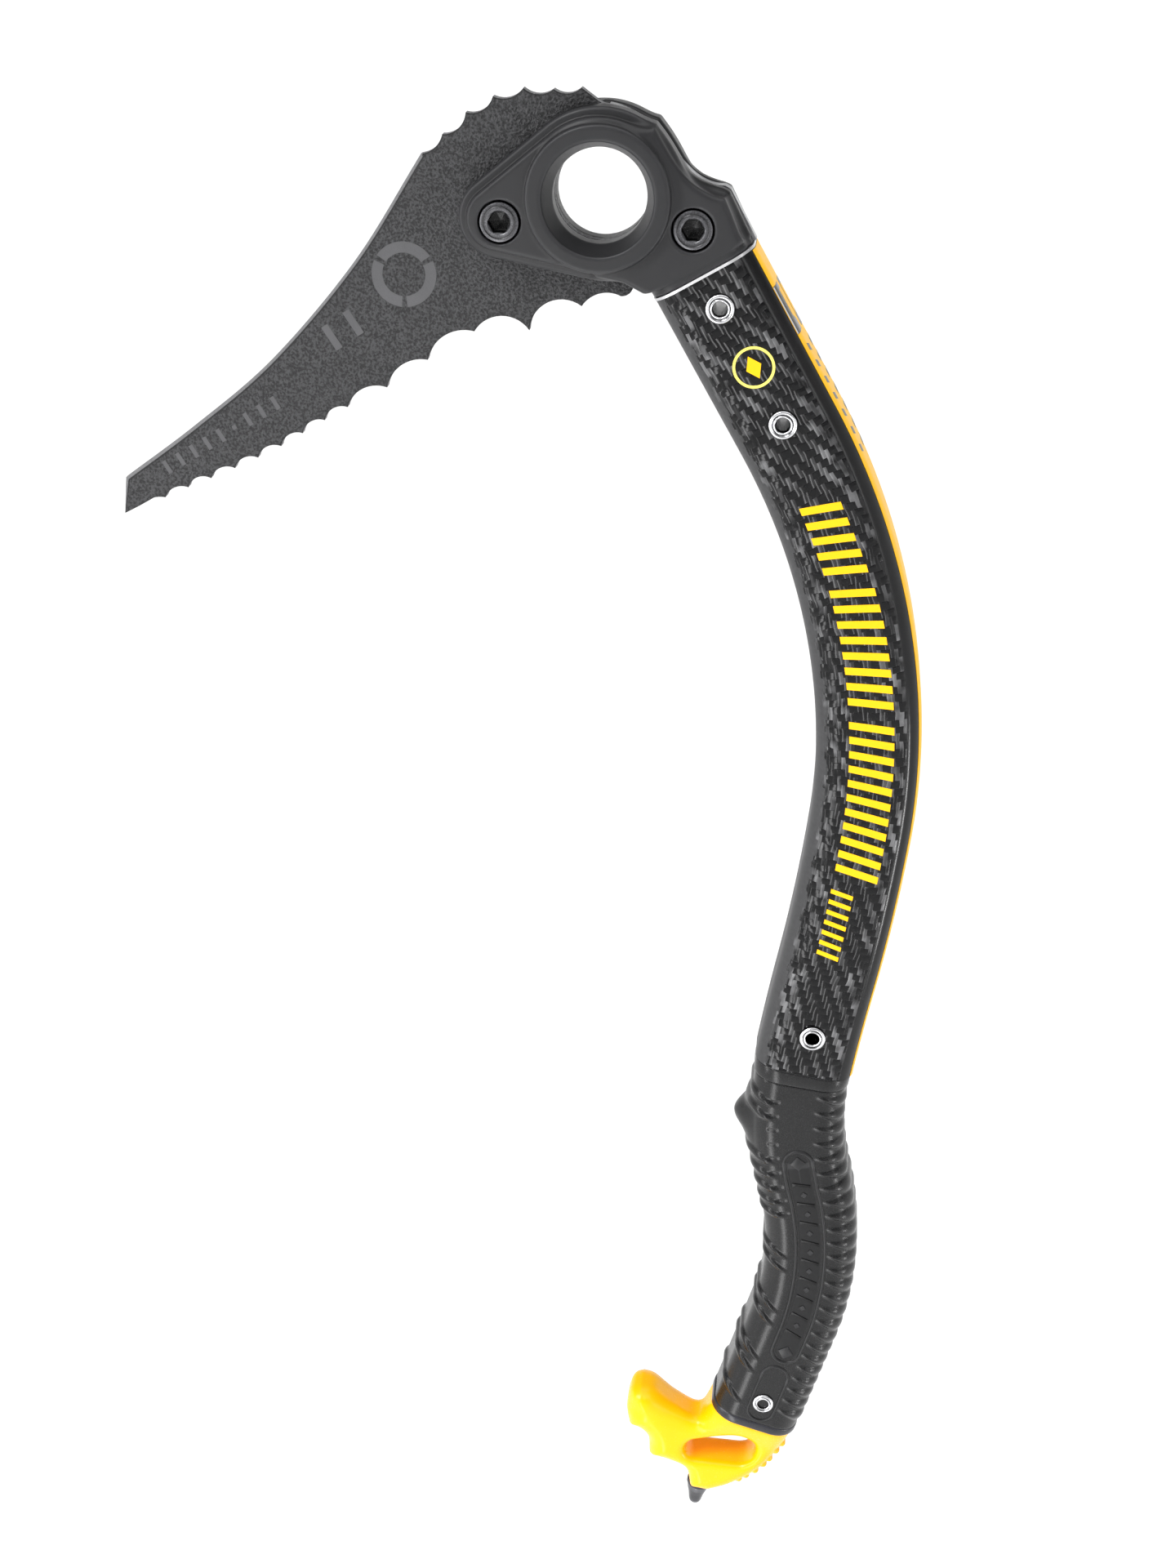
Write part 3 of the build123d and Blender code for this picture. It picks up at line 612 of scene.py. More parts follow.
# colour, roughness, metallic, grain scale, grain depth in metres and mottle, then the other settings; edge
# sets a painted highlight on sharp edges, hollow and inside set painted shade
PLAIN = {
    "etched": ((0.072, 0.072, 0.076), 0.55, 0.1, 1500.0, 0.00008),
    # painted highlight on the head's edges, painted shade in its hollows and in the eye and spine near the
    # middle plane
    "head_alloy": ((0.019, 0.019, 0.0205), 0.40, 0.0, 5200.0, 0.000018, 0.12,
                   dict(edge=2.6, hollow=0.5, specular=0.28, inside=(7.2, 0.5))),
    "web_steel": ((0.30, 0.30, 0.31), 0.30, 0.9, 2500.0, 0.00002, dict(streak=(1, 9, 1))),
    "gasket_metal": ((0.60, 0.60, 0.61), 0.35, 0.9),
    # painted glints on the bolts' edges, painted shade in hollows, and near-black painted shade in the
    # sockets and nut recesses
    "bolt_steel": ((0.026, 0.026, 0.028), 0.28, 0.5, 2500.0, 0.00002,
                   dict(edge=9.0, hollow=0.3, inside=(12.3, 0.12))),
    # painted shade in the rivets' bores and grooves
    "rivet_steel": ((0.66, 0.66, 0.68), 0.20, 1.0, 900.0, 0.000003, 0.05, dict(inside=(13.92, 0.07))),
    "yellow_film": (YELLOW, 0.42, 0.0, 1500.0, 0.000004, 0.04, dict(specular=0.2)),
    "film_black": ((0.010, 0.010, 0.011), 0.25, 0.0, 1500.0, 0.000004),
    "film_pale": ((1.0, 0.80, 0.16), 0.4, 0.0, 1500.0, 0.000004, dict(specular=0.2)),
    "film_grey_dark": ((0.060, 0.060, 0.065), 0.35, 0.0, 1500.0, 0.000004),
    "film_grey": ((0.55, 0.55, 0.56), 0.3, 0.0, 1500.0, 0.000004),
    "grip_rubber": ((0.009, 0.009, 0.0095), 0.26, 0.0, 2600.0, 0.00002, 0.2, dict(specular=0.34)),
    # painted highlight on the badge's rims, painted shade in its hollows
    "inset_rubber": ((0.009, 0.009, 0.0095), 0.32, 0.0, 3000.0, 0.00003, 0.2,
                     dict(specular=0.25, edge=3.4, hollow=0.4)),
    # painted highlight on the end ring's edges
    "end_rubber": ((0.012, 0.012, 0.016), 0.30, 0.0, 2600.0, 0.00001, 0.15, dict(edge=3.0)),
    "yellow_plastic": ((1.0, 0.480, 0.0005), 0.25, 0.0, 1300.0, 0.000006, 0.03, dict(specular=0.28)),
    # painted glint on the spike's edges
    "spike_steel": ((0.07, 0.07, 0.075), 0.22, 0.8, 1800.0, 0.00003, dict(edge=4.0)),
    "washer_black": ((0.006, 0.006, 0.006), 0.4),
    "insert_brass": ((0.62, 0.42, 0.16), 0.3, 1.0),
    "bush_alloy": ((0.62, 0.62, 0.64), 0.3, 1.0),
}
M = {"coated_steel": coated_steel(), "carbon": carbon()}
for finish, values in PLAIN.items():
    more = values[-1] if isinstance(values[-1], dict) else {}
    M[finish] = plain(finish, *[v for v in values if v is not more], **more)


# ---- pick ----

LOWER_TEETH = (
    (-137.0, -94.4, 0.05), (-133.4, -94.2, 0.20), (-126.0, -90.8, 0.23), (-118.7, -87.7, 0.22),
    (-111.1, -84.3, 0.22), (-103.8, -80.8, 0.22), (-96.5, -77.0, 0.22), (-89.7, -72.8, 0.22),
    (-82.8, -68.6, 0.22), (-75.7, -64.4, 0.21), (-63.6, -58.1, 0.20), (-51.2, -49.5, 0.21),
    (-37.2, -40.7, 0.27), (-21.0, -40.0, 0.30), (-5.7, -32.6, 0.19), (5.6, -29.4, -0.25), (9.2, -25.4, 0),
)
UPPER_TEETH = (
    (-5.8, 28.5, 0.18), (-13.6, 28.0, 0.18), (-22.2, 28.2, 0.18), (-30.8, 25.8, 0.20),
    (-38.6, 21.3, 0.20), (-45.4, 15.2, 0.16), (-51.7, 9.7, 0),
)
PICK_BROW = ((-51.7, 9.7), (-72.3, -21.5), (-98.3, -51.0), (-122.8, -71.6), (-145.4, -88.4))
PICK_TIP = (-146.4, -99.6)
PICK_THICK = 4.0


ARC_STEPS = 14


def arcs(points):
    """Points along arcs from tooth to tooth; the third value is the rise of the arc over its chord."""
    out = []
    for (x0, z0, rise), (x1, z1, _) in zip(points, points[1:]):
        start, chord = np.array([x0, z0]), np.array([x1 - x0, z1 - z0])
        left = np.array([-chord[1], chord[0]])
        along, up = np.linspace(0, 1, ARC_STEPS, endpoint=False)[:, None], 0
        if rise:
            # a circle through both ends
            angle = np.arctan(4 * rise / (1 - 4 * rise * rise))
            w = (2 * along - 1) * angle
            along = 0.5 + 0.5 * np.sin(w) / np.sin(angle)
            up = (np.cos(w) - np.cos(angle)) / (2 * np.sin(angle))
        out += list(start + chord * along + left * up)
    return out


def turning(p):
    """Twice the signed area inside an outline."""
    q = np.roll(p, -1, axis=0)
    return np.sum(p[:, 0] * q[:, 1] - q[:, 0] * p[:, 1])


def make_pick():
    outline = arcs(LOWER_TEETH)
    outline += [(9.2, -25.4)]
    outline += [(EYE_R * cos(t), EYE_R * sin(t)) for t in np.linspace(radians(-46.6), radians(-272.0), 72)]
    outline += [(0.5, 24.2), (-1.0, 25.0)]
    top = len(outline)
    outline += arcs(UPPER_TEETH)
    brow = len(outline)
    outline += list(curve(PICK_BROW))
    tip = len(outline)
    outline += [PICK_TIP, (-141.8, -97.2)]
    p = np.array(outline)
    before, after = np.roll(p, 1, axis=0), np.roll(p, -1, axis=0)
    inward = []
    for a, b, c in zip(before, p, after):
        e, f = (b - a) / norm(b - a), (c - b) / norm(c - b)
        n = np.array([-e[1] - f[1], e[0] + f[0]])
        n /= max(norm(n), 1e-6)
        inward.append(n / max(n @ np.array([-e[1], e[0]]), 0.45))
    inward = np.array(inward) * (1 if turning(p) > 0 else -1)
    # the bevel's width and depth: small round the outline, wider on the upper teeth and the brow
    inset, drop = np.full((2, len(p)), 0.35)
    inset[top:brow] = 0.5
    inset[brow:tip] = 1.5
    drop[brow:tip] = 0.9
    half = np.full(len(p), PICK_THICK / 2)
    rings = []
    for grow, y in ((inset, -half), (0 * inset, -half + drop), (0 * inset, half - drop), (inset, half)):
        ring = p + inward * grow[:, None]
        rings.append(np.stack([ring[:, 0], y, ring[:, 1]], 1))
    count = len(p)
    faces = list(grid_faces(4, count, True))
    cap = tessellate_polygon([[Vector((v[0], v[2], 0)) for v in rings[0]]])
    sign = turning(rings[0][:, ::2])
    for tri in cap:
        a, b, c = tri if turning(rings[0][list(tri)][:, ::2]) * sign < 0 else tri[::-1]
        faces.append((a, b, c))
        faces.append((3 * count + c, 3 * count + b, 3 * count + a))
    verts = np.concatenate(rings)
    add_piece("pick_blade", verts, faces, "coated_steel", ("pick",), crease=25)


def slanted(x, z, length, height, angle):
    """Corners of a small bar on the pick, turned by an angle."""
    along = np.array([cos(radians(angle)), sin(radians(angle))]) * length / 2
    up = np.array([-sin(radians(angle)), cos(radians(angle))]) * height / 2
    return [(x, z) + along * a + up * b for a, b in ((-1, -1), (1, -1), (1, 1), (-1, 1))]


MARK_HEIGHTS = (PICK_THICK / 2 - 0.02, PICK_THICK / 2 + 0.012)
RING_MIDDLE = np.array([-57.5, -24.5])
TICK_COUNT = 9
SHORT_TICK = 5


def make_pick_marks():
    """A plain broken ring, two bars and a row of short ticks, faint on both faces of the pick."""
    marks = []
    for low, high in ((35, 145), (155, 265), (275, 385)):
        turn = np.radians(np.linspace(low, high, 20))
        arc = np.stack([np.cos(turn), np.sin(turn)], -1)
        marks.append(RING_MIDDLE + np.concatenate([9.5 * arc, 6.3 * arc[::-1]]))
    for x, z in ((-79.5, -43.5), (-73.0, -39.0)):
        marks.append(slanted(x, z, 2.2, 8.0, 33))
    for k in range(TICK_COUNT):
        marks.append(slanted(-132.0 + 4.3 * k, -84.5 + 2.6 * k, 1.3, 1.3 if k == SHORT_TICK else 4.2, 31))
    for side, sign in (("near", -1), ("far", 1)):
        parts = []
        for x, z in (np.array(mark).T for mark in marks):
            rings = [np.stack([x, np.full(len(x), sign * y), z], -1) for y in MARK_HEIGHTS]
            parts.append(tube_mesh(np.array(rings)))
        add_piece("pick_marks_" + side, *joined(parts), "etched", slot="coated_steel", crease=30)


make_pick()
make_pick_marks()


# ---- head ----

SHOULDER = ((15.4, 19.4), (20.3, 11.1), (25.6, 5.2), (31.3, 1.7), (35.4, 0.6))
SPINE = ((2.2, 24.4), (12.3, 19.9), (19.4, 13.0), (26.2, 5.6), (35.0, 2.5))
CHEEK_IN = 2.05
HEAD_LOW, HEAD_HIGH = (-44.0, -34.0), (52.0, 30.0)
spine_plan = polygon_plan([*curve(SPINE), (36.6, 1.6), (46.5, -16.5), (30, -45), (15.4, -29.4),
                           (10.4, -24.2), (2, -20), (-6, 0), (0.5, 24.6)], HEAD_LOW, HEAD_HIGH)
shoulder_plan = polygon_plan([(8.5, 18.0), *curve(SHOULDER, 6), (37.3, -3.5), (39.5, -8.7), (46, -20),
                              (30, -50), (17, -30), (14, -26.9), (7.2, -23.4), (0, -21.5), (0, 10)],
                             HEAD_LOW, HEAD_HIGH)


def cheek_field(x, t, z):
    """The cheek, with t the distance from the tool's middle plane."""
    heading = radians(SHAFT_HEADING)
    dx, dz = x - SHAFT_START[0], z - SHAFT_START[1]
    along = dx * sin(heading) - dz * cos(heading)
    lateral = dx * cos(heading) + dz * sin(heading)
    lobe = link_plan(x, z, (-28.7, -6.4), 11.4, (0, 0.6), 24.0)
    body = smooth_union(slab(lobe, t, CHEEK_IN, 9.6, 1.3), slab(lobe + 2.6, t, CHEEK_IN, 12.4, 1.2), 0.8)
    body = smooth_union(body, slab(spine_plan(x, z) + 0.7, t, CHEEK_IN, 6.3, 1.0), 2.0)
    body = smooth_union(body, slab(shoulder_plan(x, z), t, CHEEK_IN, 13.0, 1.4), 3.5)
    radius = np.hypot(x, z)
    body = smooth_union(body, slab(radius - BOSS_R, t, CHEEK_IN, BOSS_Y, 0.8), 0.9)
    # the shaft's section limits the cheek at the joint, and less and less away from it
    socket = rounded(np.abs(lateral) - 8.0, t - 5.0, 8.0)
    body = smooth_cut(body, socket - np.maximum(0, -along) * 3.0, 1.0)
    body = smooth_cut(body, along - (JOINT - GASKET), 0.7)
    mouth = EYE_R + (EYE_MOUTH_R - EYE_R) * np.clip((t - 7.5) / 7.5, 0, 2)
    body = smooth_cut(body, (mouth - radius) * 0.94, 0.5)
    for spot in BOLTS.values():
        reach = np.hypot(x - spot[0], z - spot[1])
        pocket = np.maximum(reach - 6.15, 7.8 - t)
        body = smooth_cut(body, -pocket, 0.5)
    return body


def make_cheeks():
    verts, faces = net(cheek_field, (-42, 0.9, -33), (48, 16.5, 28), 0.6)
    for side, mirror in (("right", False), ("left", True)):
        node = "head_cheek_" + side
        add_piece("cheek_" + side, verts, faces, "head_alloy", (node,), crease=50, mirror=mirror)


make_cheeks()


def across(spot, out, side):
    """Maps lathe points to a spot on the +Y or -Y side, with height measured outwards from y = out."""
    def place(a, b, h):
        return np.stack([spot[0] + a, np.full(a.shape, side * (out + h)), spot[1] + b], -1)
    return place


def lathe_piece(name, rings, place, finish, node, count=64, crease=40):
    verts, faces = tube_mesh(lathe(rings, place, count))
    add_piece(name, verts, faces, finish, (node,), crease=crease)


BOLT_FACE = 12.6            # from the middle plane to the faces of bolts and nuts


def make_bolts():
    """Low-head socket bolts on -Y and their round nuts on +Y."""
    hexed = hexagon(5.5)
    head = [(5.6, -5.0), (5.6, -0.55), (5.45, -0.2), (5.1, -0.02), (4.7, 0.0), (4.5, -0.12), (4.3, 0.0),
            (3.55, 0.0), (3.3, -0.15), (lambda t: np.minimum(hexed(t) + 0.12, 3.25), -0.5), (hexed, -0.8),
            (hexed, -3.3), (lambda t: hexed(t) * 0.8, -3.6), (0.4, -4.2)]
    nut = [(5.6, -5.0), (5.6, -0.55), (5.45, -0.2), (5.1, -0.02), (3.9, 0.0), (3.5, -0.2), (3.1, -0.5),
           (2.9, -1.2), (2.6, -1.5), (2.5, -1.1), (0.3, -1.0)]
    for end, spot in BOLTS.items():
        near, far = across(spot, BOLT_FACE, -1), across(spot, BOLT_FACE, 1)
        lathe_piece("socket_bolt_" + end, head, near, "bolt_steel", "pick_bolt_" + end, 96, 30)
        lathe_piece("round_nut_" + end, nut, far, "bolt_steel", "pick_nut_" + end, 64, 30)


make_bolts()


# ---- shaft ----

DRILL_REACH = 20.0
RIVET_HOLE_R = 2.6
FILM_REACH = 8.6            # half the yellow film's width


def drill(obj, holes):
    """Cuts round holes along Y, each a spot and a radius, right through a piece."""
    for spot, radius in holes:
        rings = [(radius, -DRILL_REACH), (radius, DRILL_REACH)]
        verts, faces = tube_mesh(lathe(rings, across(spot, 0, 1), 48))
        mesh = bpy.data.meshes.new("drill")
        mesh.from_pydata((verts * MM).tolist(), [], [f[::-1] for f in faces])
        tool = new_object("drill", mesh)
        cut = obj.modifiers.new("drill", "BOOLEAN")
        cut.operation = "DIFFERENCE"
        cut.object = tool
        cut.solver = "EXACT"
        bpy.context.view_layer.update()
        cut_mesh = bpy.data.meshes.new_from_object(obj.evaluated_get(bpy.context.evaluated_depsgraph_get()))
        obj.modifiers.clear()
        obj.data = cut_mesh
        bpy.data.objects.remove(tool)


def rivet_spot(name):
    x, z, _ = line(RIVETS[name])
    return float(x), float(z)


def make_shaft():
    s = np.arange(JOINT, GRIP_TOP + 0.01, 0.95)
    u = np.arange(144) * SHAFT_ROUND / 144
    points = shaft_skin(s[:, None], np.broadcast_to(u, (len(s), len(u))), 0.0)
    verts, faces = tube_mesh(points)
    shaft = add_piece("carbon_shaft", verts, faces, "carbon", ("shaft_tube",),
                      flow=tube_flow(s, u, SHAFT_ROUND))
    drill(shaft, [(rivet_spot(name), RIVET_HOLE_R) for name in RIVETS if name != "grip_rivet"])


make_shaft()


def make_rivets():
    """Tubular rivets with a flared double rim, narrower and a little further out in the grip."""
    rim = [(2.15, -1.5), (2.15, 0.55), (2.35, 0.95), (2.6, 1.02), (2.85, 0.8), (2.95, 0.62), (3.1, 0.66),
           (3.35, 1.0), (3.7, 1.05), (4.05, 0.85), (4.28, 0.45), (4.3, 0.02)]
    for name in RIVETS:
        out, scale = (13.1, 3.7 / 4.3) if name == "grip_rivet" else (13.0, 1.0)
        rings = rim[:2] + [(r * scale, h) for r, h in rim[2:]]
        near = lathe(rings, across(rivet_spot(name), out, -1))
        verts, faces = hoop_mesh(np.concatenate([near, near[::-1] * (1, -1, 1)]))
        add_piece(name + "_eyelet", verts, faces, "rivet_steel", (name,), crease=60)


make_rivets()


def make_film():
    """The yellow film on the shaft's back."""
    low, high = JOINT + 0.3, GRIP_TOP - 0.3
    corners = ((low, -FILM_REACH), (low, FILM_REACH), (high, FILM_REACH), (high, -FILM_REACH))
    film("back_film", corners, 0.01, 0.17, "yellow_film", ("back_stripe",))


make_film()

# ---- grip ----

BACK_CRESTS = [280.5 + 6.25 * i for i in range(7)] + [323.2 + 5.02 * i for i in range(18)]
FRONT_CRESTS = (285.0, 290.0, 305.6, 310.6, 315.6, 321.0, 326.4)
PAIR_CRESTS = (344.1, 349.9, 368.3, 374.2, 389.6, 395.2, 409.0)
TICKS = (284.0, 289.0, 294.0, 299.2, 304.2, 309.4, 314.8, 320.0, 325.4)
TRIGGER = ((284.5, 0), (287.0, 0.5), (289.5, 2.0), (291.6, 4.4), (293.2, 5.5), (294.6, 5.6), (296.2, 5.0),
           (299.0, 3.2), (303.0, 1.6), (308.0, 0.6), (313.0, 0))


RIB_HEIGHT = 0.8
TICK_DEPTH = 0.4


def comb(s, crests, half):
    """A row of rounded ridges: 1 on their crests and 0 at half away from them."""
    nearest = np.abs(s[..., None] - np.array(crests)).min(axis=-1)
    return 1 - np.clip(nearest / half, 0, 1) ** 2


def fade(value, low, high):
    t = np.clip((value - low) / (high - low), 0, 1)
    return t * t * (3 - 2 * t)


def grip_relief(s, lateral):
    """Height of the grip's ribs and grooves over its plain skin."""
    half = 0.85 + 1.95 * fade(lateral, 7.2, 15.2)
    back = comb(s - 0.28 * (lateral - 8), BACK_CRESTS, half) * fade(lateral, 5.0, 9.4)
    half = 0.85 + 0.95 * fade(-lateral, 8.0, 13.0)
    front = np.maximum(comb(s - 0.33 * (lateral + 8.8), FRONT_CRESTS, half),
                       comb(s - 0.62 * (lateral + 8.8), PAIR_CRESTS, half)) * fade(-lateral, 6.8, 10.4)
    tick = comb(s, TICKS, 0.55) * fade(lateral, -9.6, -8.8) * fade(-lateral, 5.6, 6.4)
    return RIB_HEIGHT * (back + front) - TICK_DEPTH * tick


def swept(name, stations, shape, inset, finish, node, relief=None, count=200):
    """A closed piece along the shaft's line with a rounded section of that (depth, width, corner), moved in
    by inset at each station. With relief it also has ribs and the finger trigger."""
    at, around = section(*shape)
    u = np.arange(count) * around / count
    point, normal = at(np.broadcast_to(u, (len(stations), count)))
    s = np.broadcast_to(np.asarray(stations)[:, None], point.shape[:2])
    lift = relief(s, point[..., 0]) if relief else np.zeros(s.shape)
    point = point + normal * (lift - np.asarray(inset)[:, None])[..., None]
    lateral, y = point[..., 0], point[..., 1]
    if relief:
        height = np.interp(s, *np.array(curve(TRIGGER)).T)
        lateral = lateral - height * np.clip(1 - (y / 9.5) ** 2, 0, 1) ** 1.5 * (lateral < 0)
    verts, faces = tube_mesh(on_shaft(s, lateral, y))
    add_piece(name, verts, faces, finish, (node,), crease=55)


def make_grip():
    stations = np.concatenate([[CUFF_END, CUFF_END + 0.02], np.arange(CUFF_END + 0.3, RING_TOP - 0.3, 0.42),
                               [RING_TOP - 0.02, RING_TOP]])
    ends = np.zeros(len(stations))
    ends[[0, -1]] = 0.5
    ends[[1, -2]] = 0.15
    swept("grip_body", stations, (GRIP_DEPTH, GRIP_WIDTH, GRIP_CORNER), ends, "grip_rubber", "grip_sleeve",
          grip_relief, 240)
    for name, low, high, shape, material, node in (
            ("cuff", GRIP_TOP, CUFF_END, (31.4, 26.9, 9.0), "grip_rubber", "grip_cuff"),
            ("end_ring", RING_TOP, GRIP_END, (31.0, 27.0, 9.5), "end_rubber", "grip_end_ring")):
        edge = [low, low + 0.1, low + 0.3, low + 0.7, (low + high) / 2]
        edge += [high - 0.6, high - 0.25, high - 0.08, high]
        swept(name, edge, shape, (0.7, 0.35, 0.12, 0, 0, 0, 0.12, 0.3, 0.5), material, node)


def stadium(low, high, reach, inset):
    """(station, lateral) points round a stadium between two stations, moved in by inset."""
    r = max(reach - inset, 0.02)
    turn = np.linspace(0, pi, 25)
    run = np.arange(low, high, 1.0)
    far = [(high + r * sin(t), r * cos(t)) for t in turn]
    near = [(low - r * sin(t), -r * cos(t)) for t in turn]
    return np.array([(v, r) for v in run] + far + [(v, -r) for v in run[::-1]] + near)


def stadium_piece(name, low, high, reach, profile, shift, node, marks=()):
    """A stadium with marks in it, on both sides of the grip. profile gives (inset, height over the side)
    from the rim inwards."""
    rings = []
    for inset, height in profile:
        spot = stadium(low, high, reach, inset)
        rings.append(on_shaft(spot[:, 0], spot[:, 1] + shift, GRIP_WIDTH / 2 + height))
    parts = [tube_mesh(np.array(rings))]
    parts += [prism(mark, GRIP_WIDTH / 2 - 0.2, GRIP_WIDTH / 2 + 0.32, shift) for mark in marks]
    verts, faces = joined(parts)
    for side, mirror in (("left", True), ("right", False)):
        add_piece(name + "_" + side, verts, faces, "inset_rubber", (node + "_" + side,), crease=35,
                  mirror=mirror)


def prism(outline, low, high, shift=0.0, edge=0.06):
    """A flat mark with (station, lateral) corners between two distances from the middle plane."""
    points = []
    for a, b in zip(outline, np.roll(outline, -1, axis=0)):
        steps = max(1, int(np.hypot(*(b - a)) / 1.2))
        points += [a + (b - a) * k / steps for k in range(steps)]
    points = np.array(points)
    middle = points.mean(axis=0)
    shrunk = middle + (points - middle) * (1 - edge)
    rings = [on_shaft(p[:, 0], p[:, 1] + shift, y)
             for p, y in ((points, low), (points, high - 0.06), (shrunk, high))]
    return tube_mesh(np.array(rings))


def box_mark(station, lateral, length, width, slant=0.0):
    """Corners of a small bar: length along the tool, width across it, leaning by slant."""
    a, b = length / 2, width / 2
    return np.array([(station - a - slant, lateral - b), (station + a - slant, lateral - b),
                     (station + a + slant, lateral + b), (station - a + slant, lateral + b)])


def diamond(station, lateral, half_length, half_width):
    return np.array([(station - half_length, lateral), (station, lateral + half_width),
                     (station + half_length, lateral), (station, lateral - half_width)])


RUNG_COUNT = 9
RUNG_START = 315.0
RUNG_PITCH = 7.6


def make_grip_details():
    """The long badge with plain rungs and diamonds, and the plate round the rivet."""
    rim = [(-0.1, -1.2), (-0.1, -0.2), (0.0, 0.1), (0.12, 0.35), (0.35, 0.5), (0.75, 0.5), (1.0, 0.35),
           (1.15, 0.05), (1.3, -0.02), (2.2, 0.02), (3.6, 0.04), (5.19, 0.04)]
    marks = []
    for k in range(RUNG_COUNT):
        station = RUNG_START + RUNG_PITCH * k
        marks.append(box_mark(station, 0, 1.0, 5.8, 0.8))
        if k < RUNG_COUNT - 1:
            marks.append(diamond(station + RUNG_PITCH / 2, 0, 1.1, 1.1))
    marks += [diamond(station, 0, 2.6, 2.6) for station in (306.5, 384.0)]
    stadium_piece("badge", 306.8, 383.4, 5.4, rim, 0.3, "grip_badge", marks)
    rim = [(-0.1, -1.2), (-0.1, -0.2), (0.0, 0.1), (0.1, 0.28), (0.3, 0.4), (0.6, 0.4), (0.8, 0.28),
           (0.9, 0.02), (1.05, -0.05), (3.0, -0.05), (4.9, -0.05)]
    stadium_piece("grip_plate", 395.4, 410.2, 5.0, rim, 0.2, "rivet_plate")


make_grip()
make_grip_details()


# ---- pommel and spike ----

SADDLE = ((41.0, -418.2), (36.4, -425.6), (28.5, -421.8), (21.0, -415.6), (16.0, -414.0))
TIP = ((16.0, -414.0), (12.4, -416.0), (10.9, -424.0), (11.8, -431.0))
THROAT = ((11.8, -431.0), (15.8, -432.6), (18.6, -436.5), (19.2, -443.8))
SOLE = ((19.2, -443.8), (27.0, -445.6), (32.4, -448.6), (34.2, -456.4))
BELLY = ((40.6, -457.4), (49.0, -453.6), (58.6, -446.2), (65.8, -435.6), (69.8, -426.8))
LOOP_LOW = (36.6, -438.4)
LOOP_HIGH = (50.6, -437.0)
SPIKE_TOP = (37.0, -457.2)
SPIKE_LEAN = radians(8)

pommel_plan = polygon_plan([*curve(SADDLE), *curve(TIP), *curve(THROAT), *curve(SOLE), *curve(BELLY),
                            (71.5, -421.0), (42.5, -412.0)], (2, -466), (80, -405))
belly_line = curve(BELLY[1:])
POMMEL_RIBS = [belly_line[int(k)] for k in np.linspace(3, len(belly_line) - 12, 7)]


def pommel_field(x, y, z):
    base_x, base_z, heading = line(GRIP_END)
    along = (x - base_x) * np.sin(heading) - (z - base_z) * np.cos(heading)
    t = np.abs(y)
    plan = pommel_plan(x, z)
    horn = fade(-x, -36.0, -20.0)
    neck = fade(-along, -13.0, 1.0)
    wide = 8.0 + 1.5 * horn + 4.4 * neck
    edge = 5.0 + 3.2 * horn + 3.5 * neck
    body = rounded(plan + edge, t - wide + edge, edge)
    for spot in POMMEL_RIBS:
        rib = np.hypot(np.hypot(x - spot[0], z - spot[1]), np.maximum(t - 4.0, 0)) - 1.3
        body = smooth_union(body, rib, 0.6)
    loop = link_plan(x, z, LOOP_LOW, 4.6, LOOP_HIGH, 6.6)
    body = smooth_cut(body, -loop, 3.0)
    return np.maximum(body, -along)


def make_pommel():
    verts, faces = net(pommel_field, (8.5, -14.4, -460.5), (73, 14.4, -413), 0.62)
    add_piece("pommel_body_shape", verts, faces, "yellow_plastic", ("pommel_body",), crease=50)


def make_spike():
    down = np.array([-sin(SPIKE_LEAN), 0, -cos(SPIKE_LEAN)])
    side = np.array([cos(SPIKE_LEAN), 0, -sin(SPIKE_LEAN)])

    def place(a, b, h):
        top = np.array([SPIKE_TOP[0], 0, SPIKE_TOP[1]])
        return top + a[..., None] * side + b[..., None] * np.array([0, 1.0, 0]) + h * down

    washer = [(2.0, -0.8), (3.9, -0.8), (4.1, -0.6), (4.1, 0.9), (3.95, 1.15), (2.0, 1.2)]
    spike = [(2.0, -4.0), (3.3, -4.0), (3.3, 1.2), (3.7, 1.5), (3.6, 3.0), (3.1, 4.6), (2.7, 6.0),
             (2.3, 8.2), (1.9, 9.3), (1.4, 9.8), (0.7, 10.0), (0.15, 10.02)]
    lathe_piece("spike_ring", washer, place, "washer_black", "spike_washer")
    lathe_piece("spike_point", spike, place, "spike_steel", "spike")


make_pommel()
make_spike()


# ---- marks on the shaft ----

def add_prints(name, verts, faces, finish):
    """The same printed marks on both sides of the shaft."""
    for side, mirror in (("near", True), ("far", False)):
        add_piece(name + "_" + side, verts, faces, finish, slot="yellow_film", crease=30, mirror=mirror)


def ring_mark(station, lateral, outer, inner):
    """A thin flat ring on the shaft's side."""
    turn = np.arange(64) * 2 * pi / 64
    rings = []
    for radius, height in ((outer, -0.05), (outer, 0.12), (inner, 0.12), (inner, -0.05)):
        rings.append(on_shaft(station + radius * np.cos(turn), lateral + radius * np.sin(turn),
                              SHAFT_WIDTH / 2 + height))
    return hoop_mesh(np.array(rings))


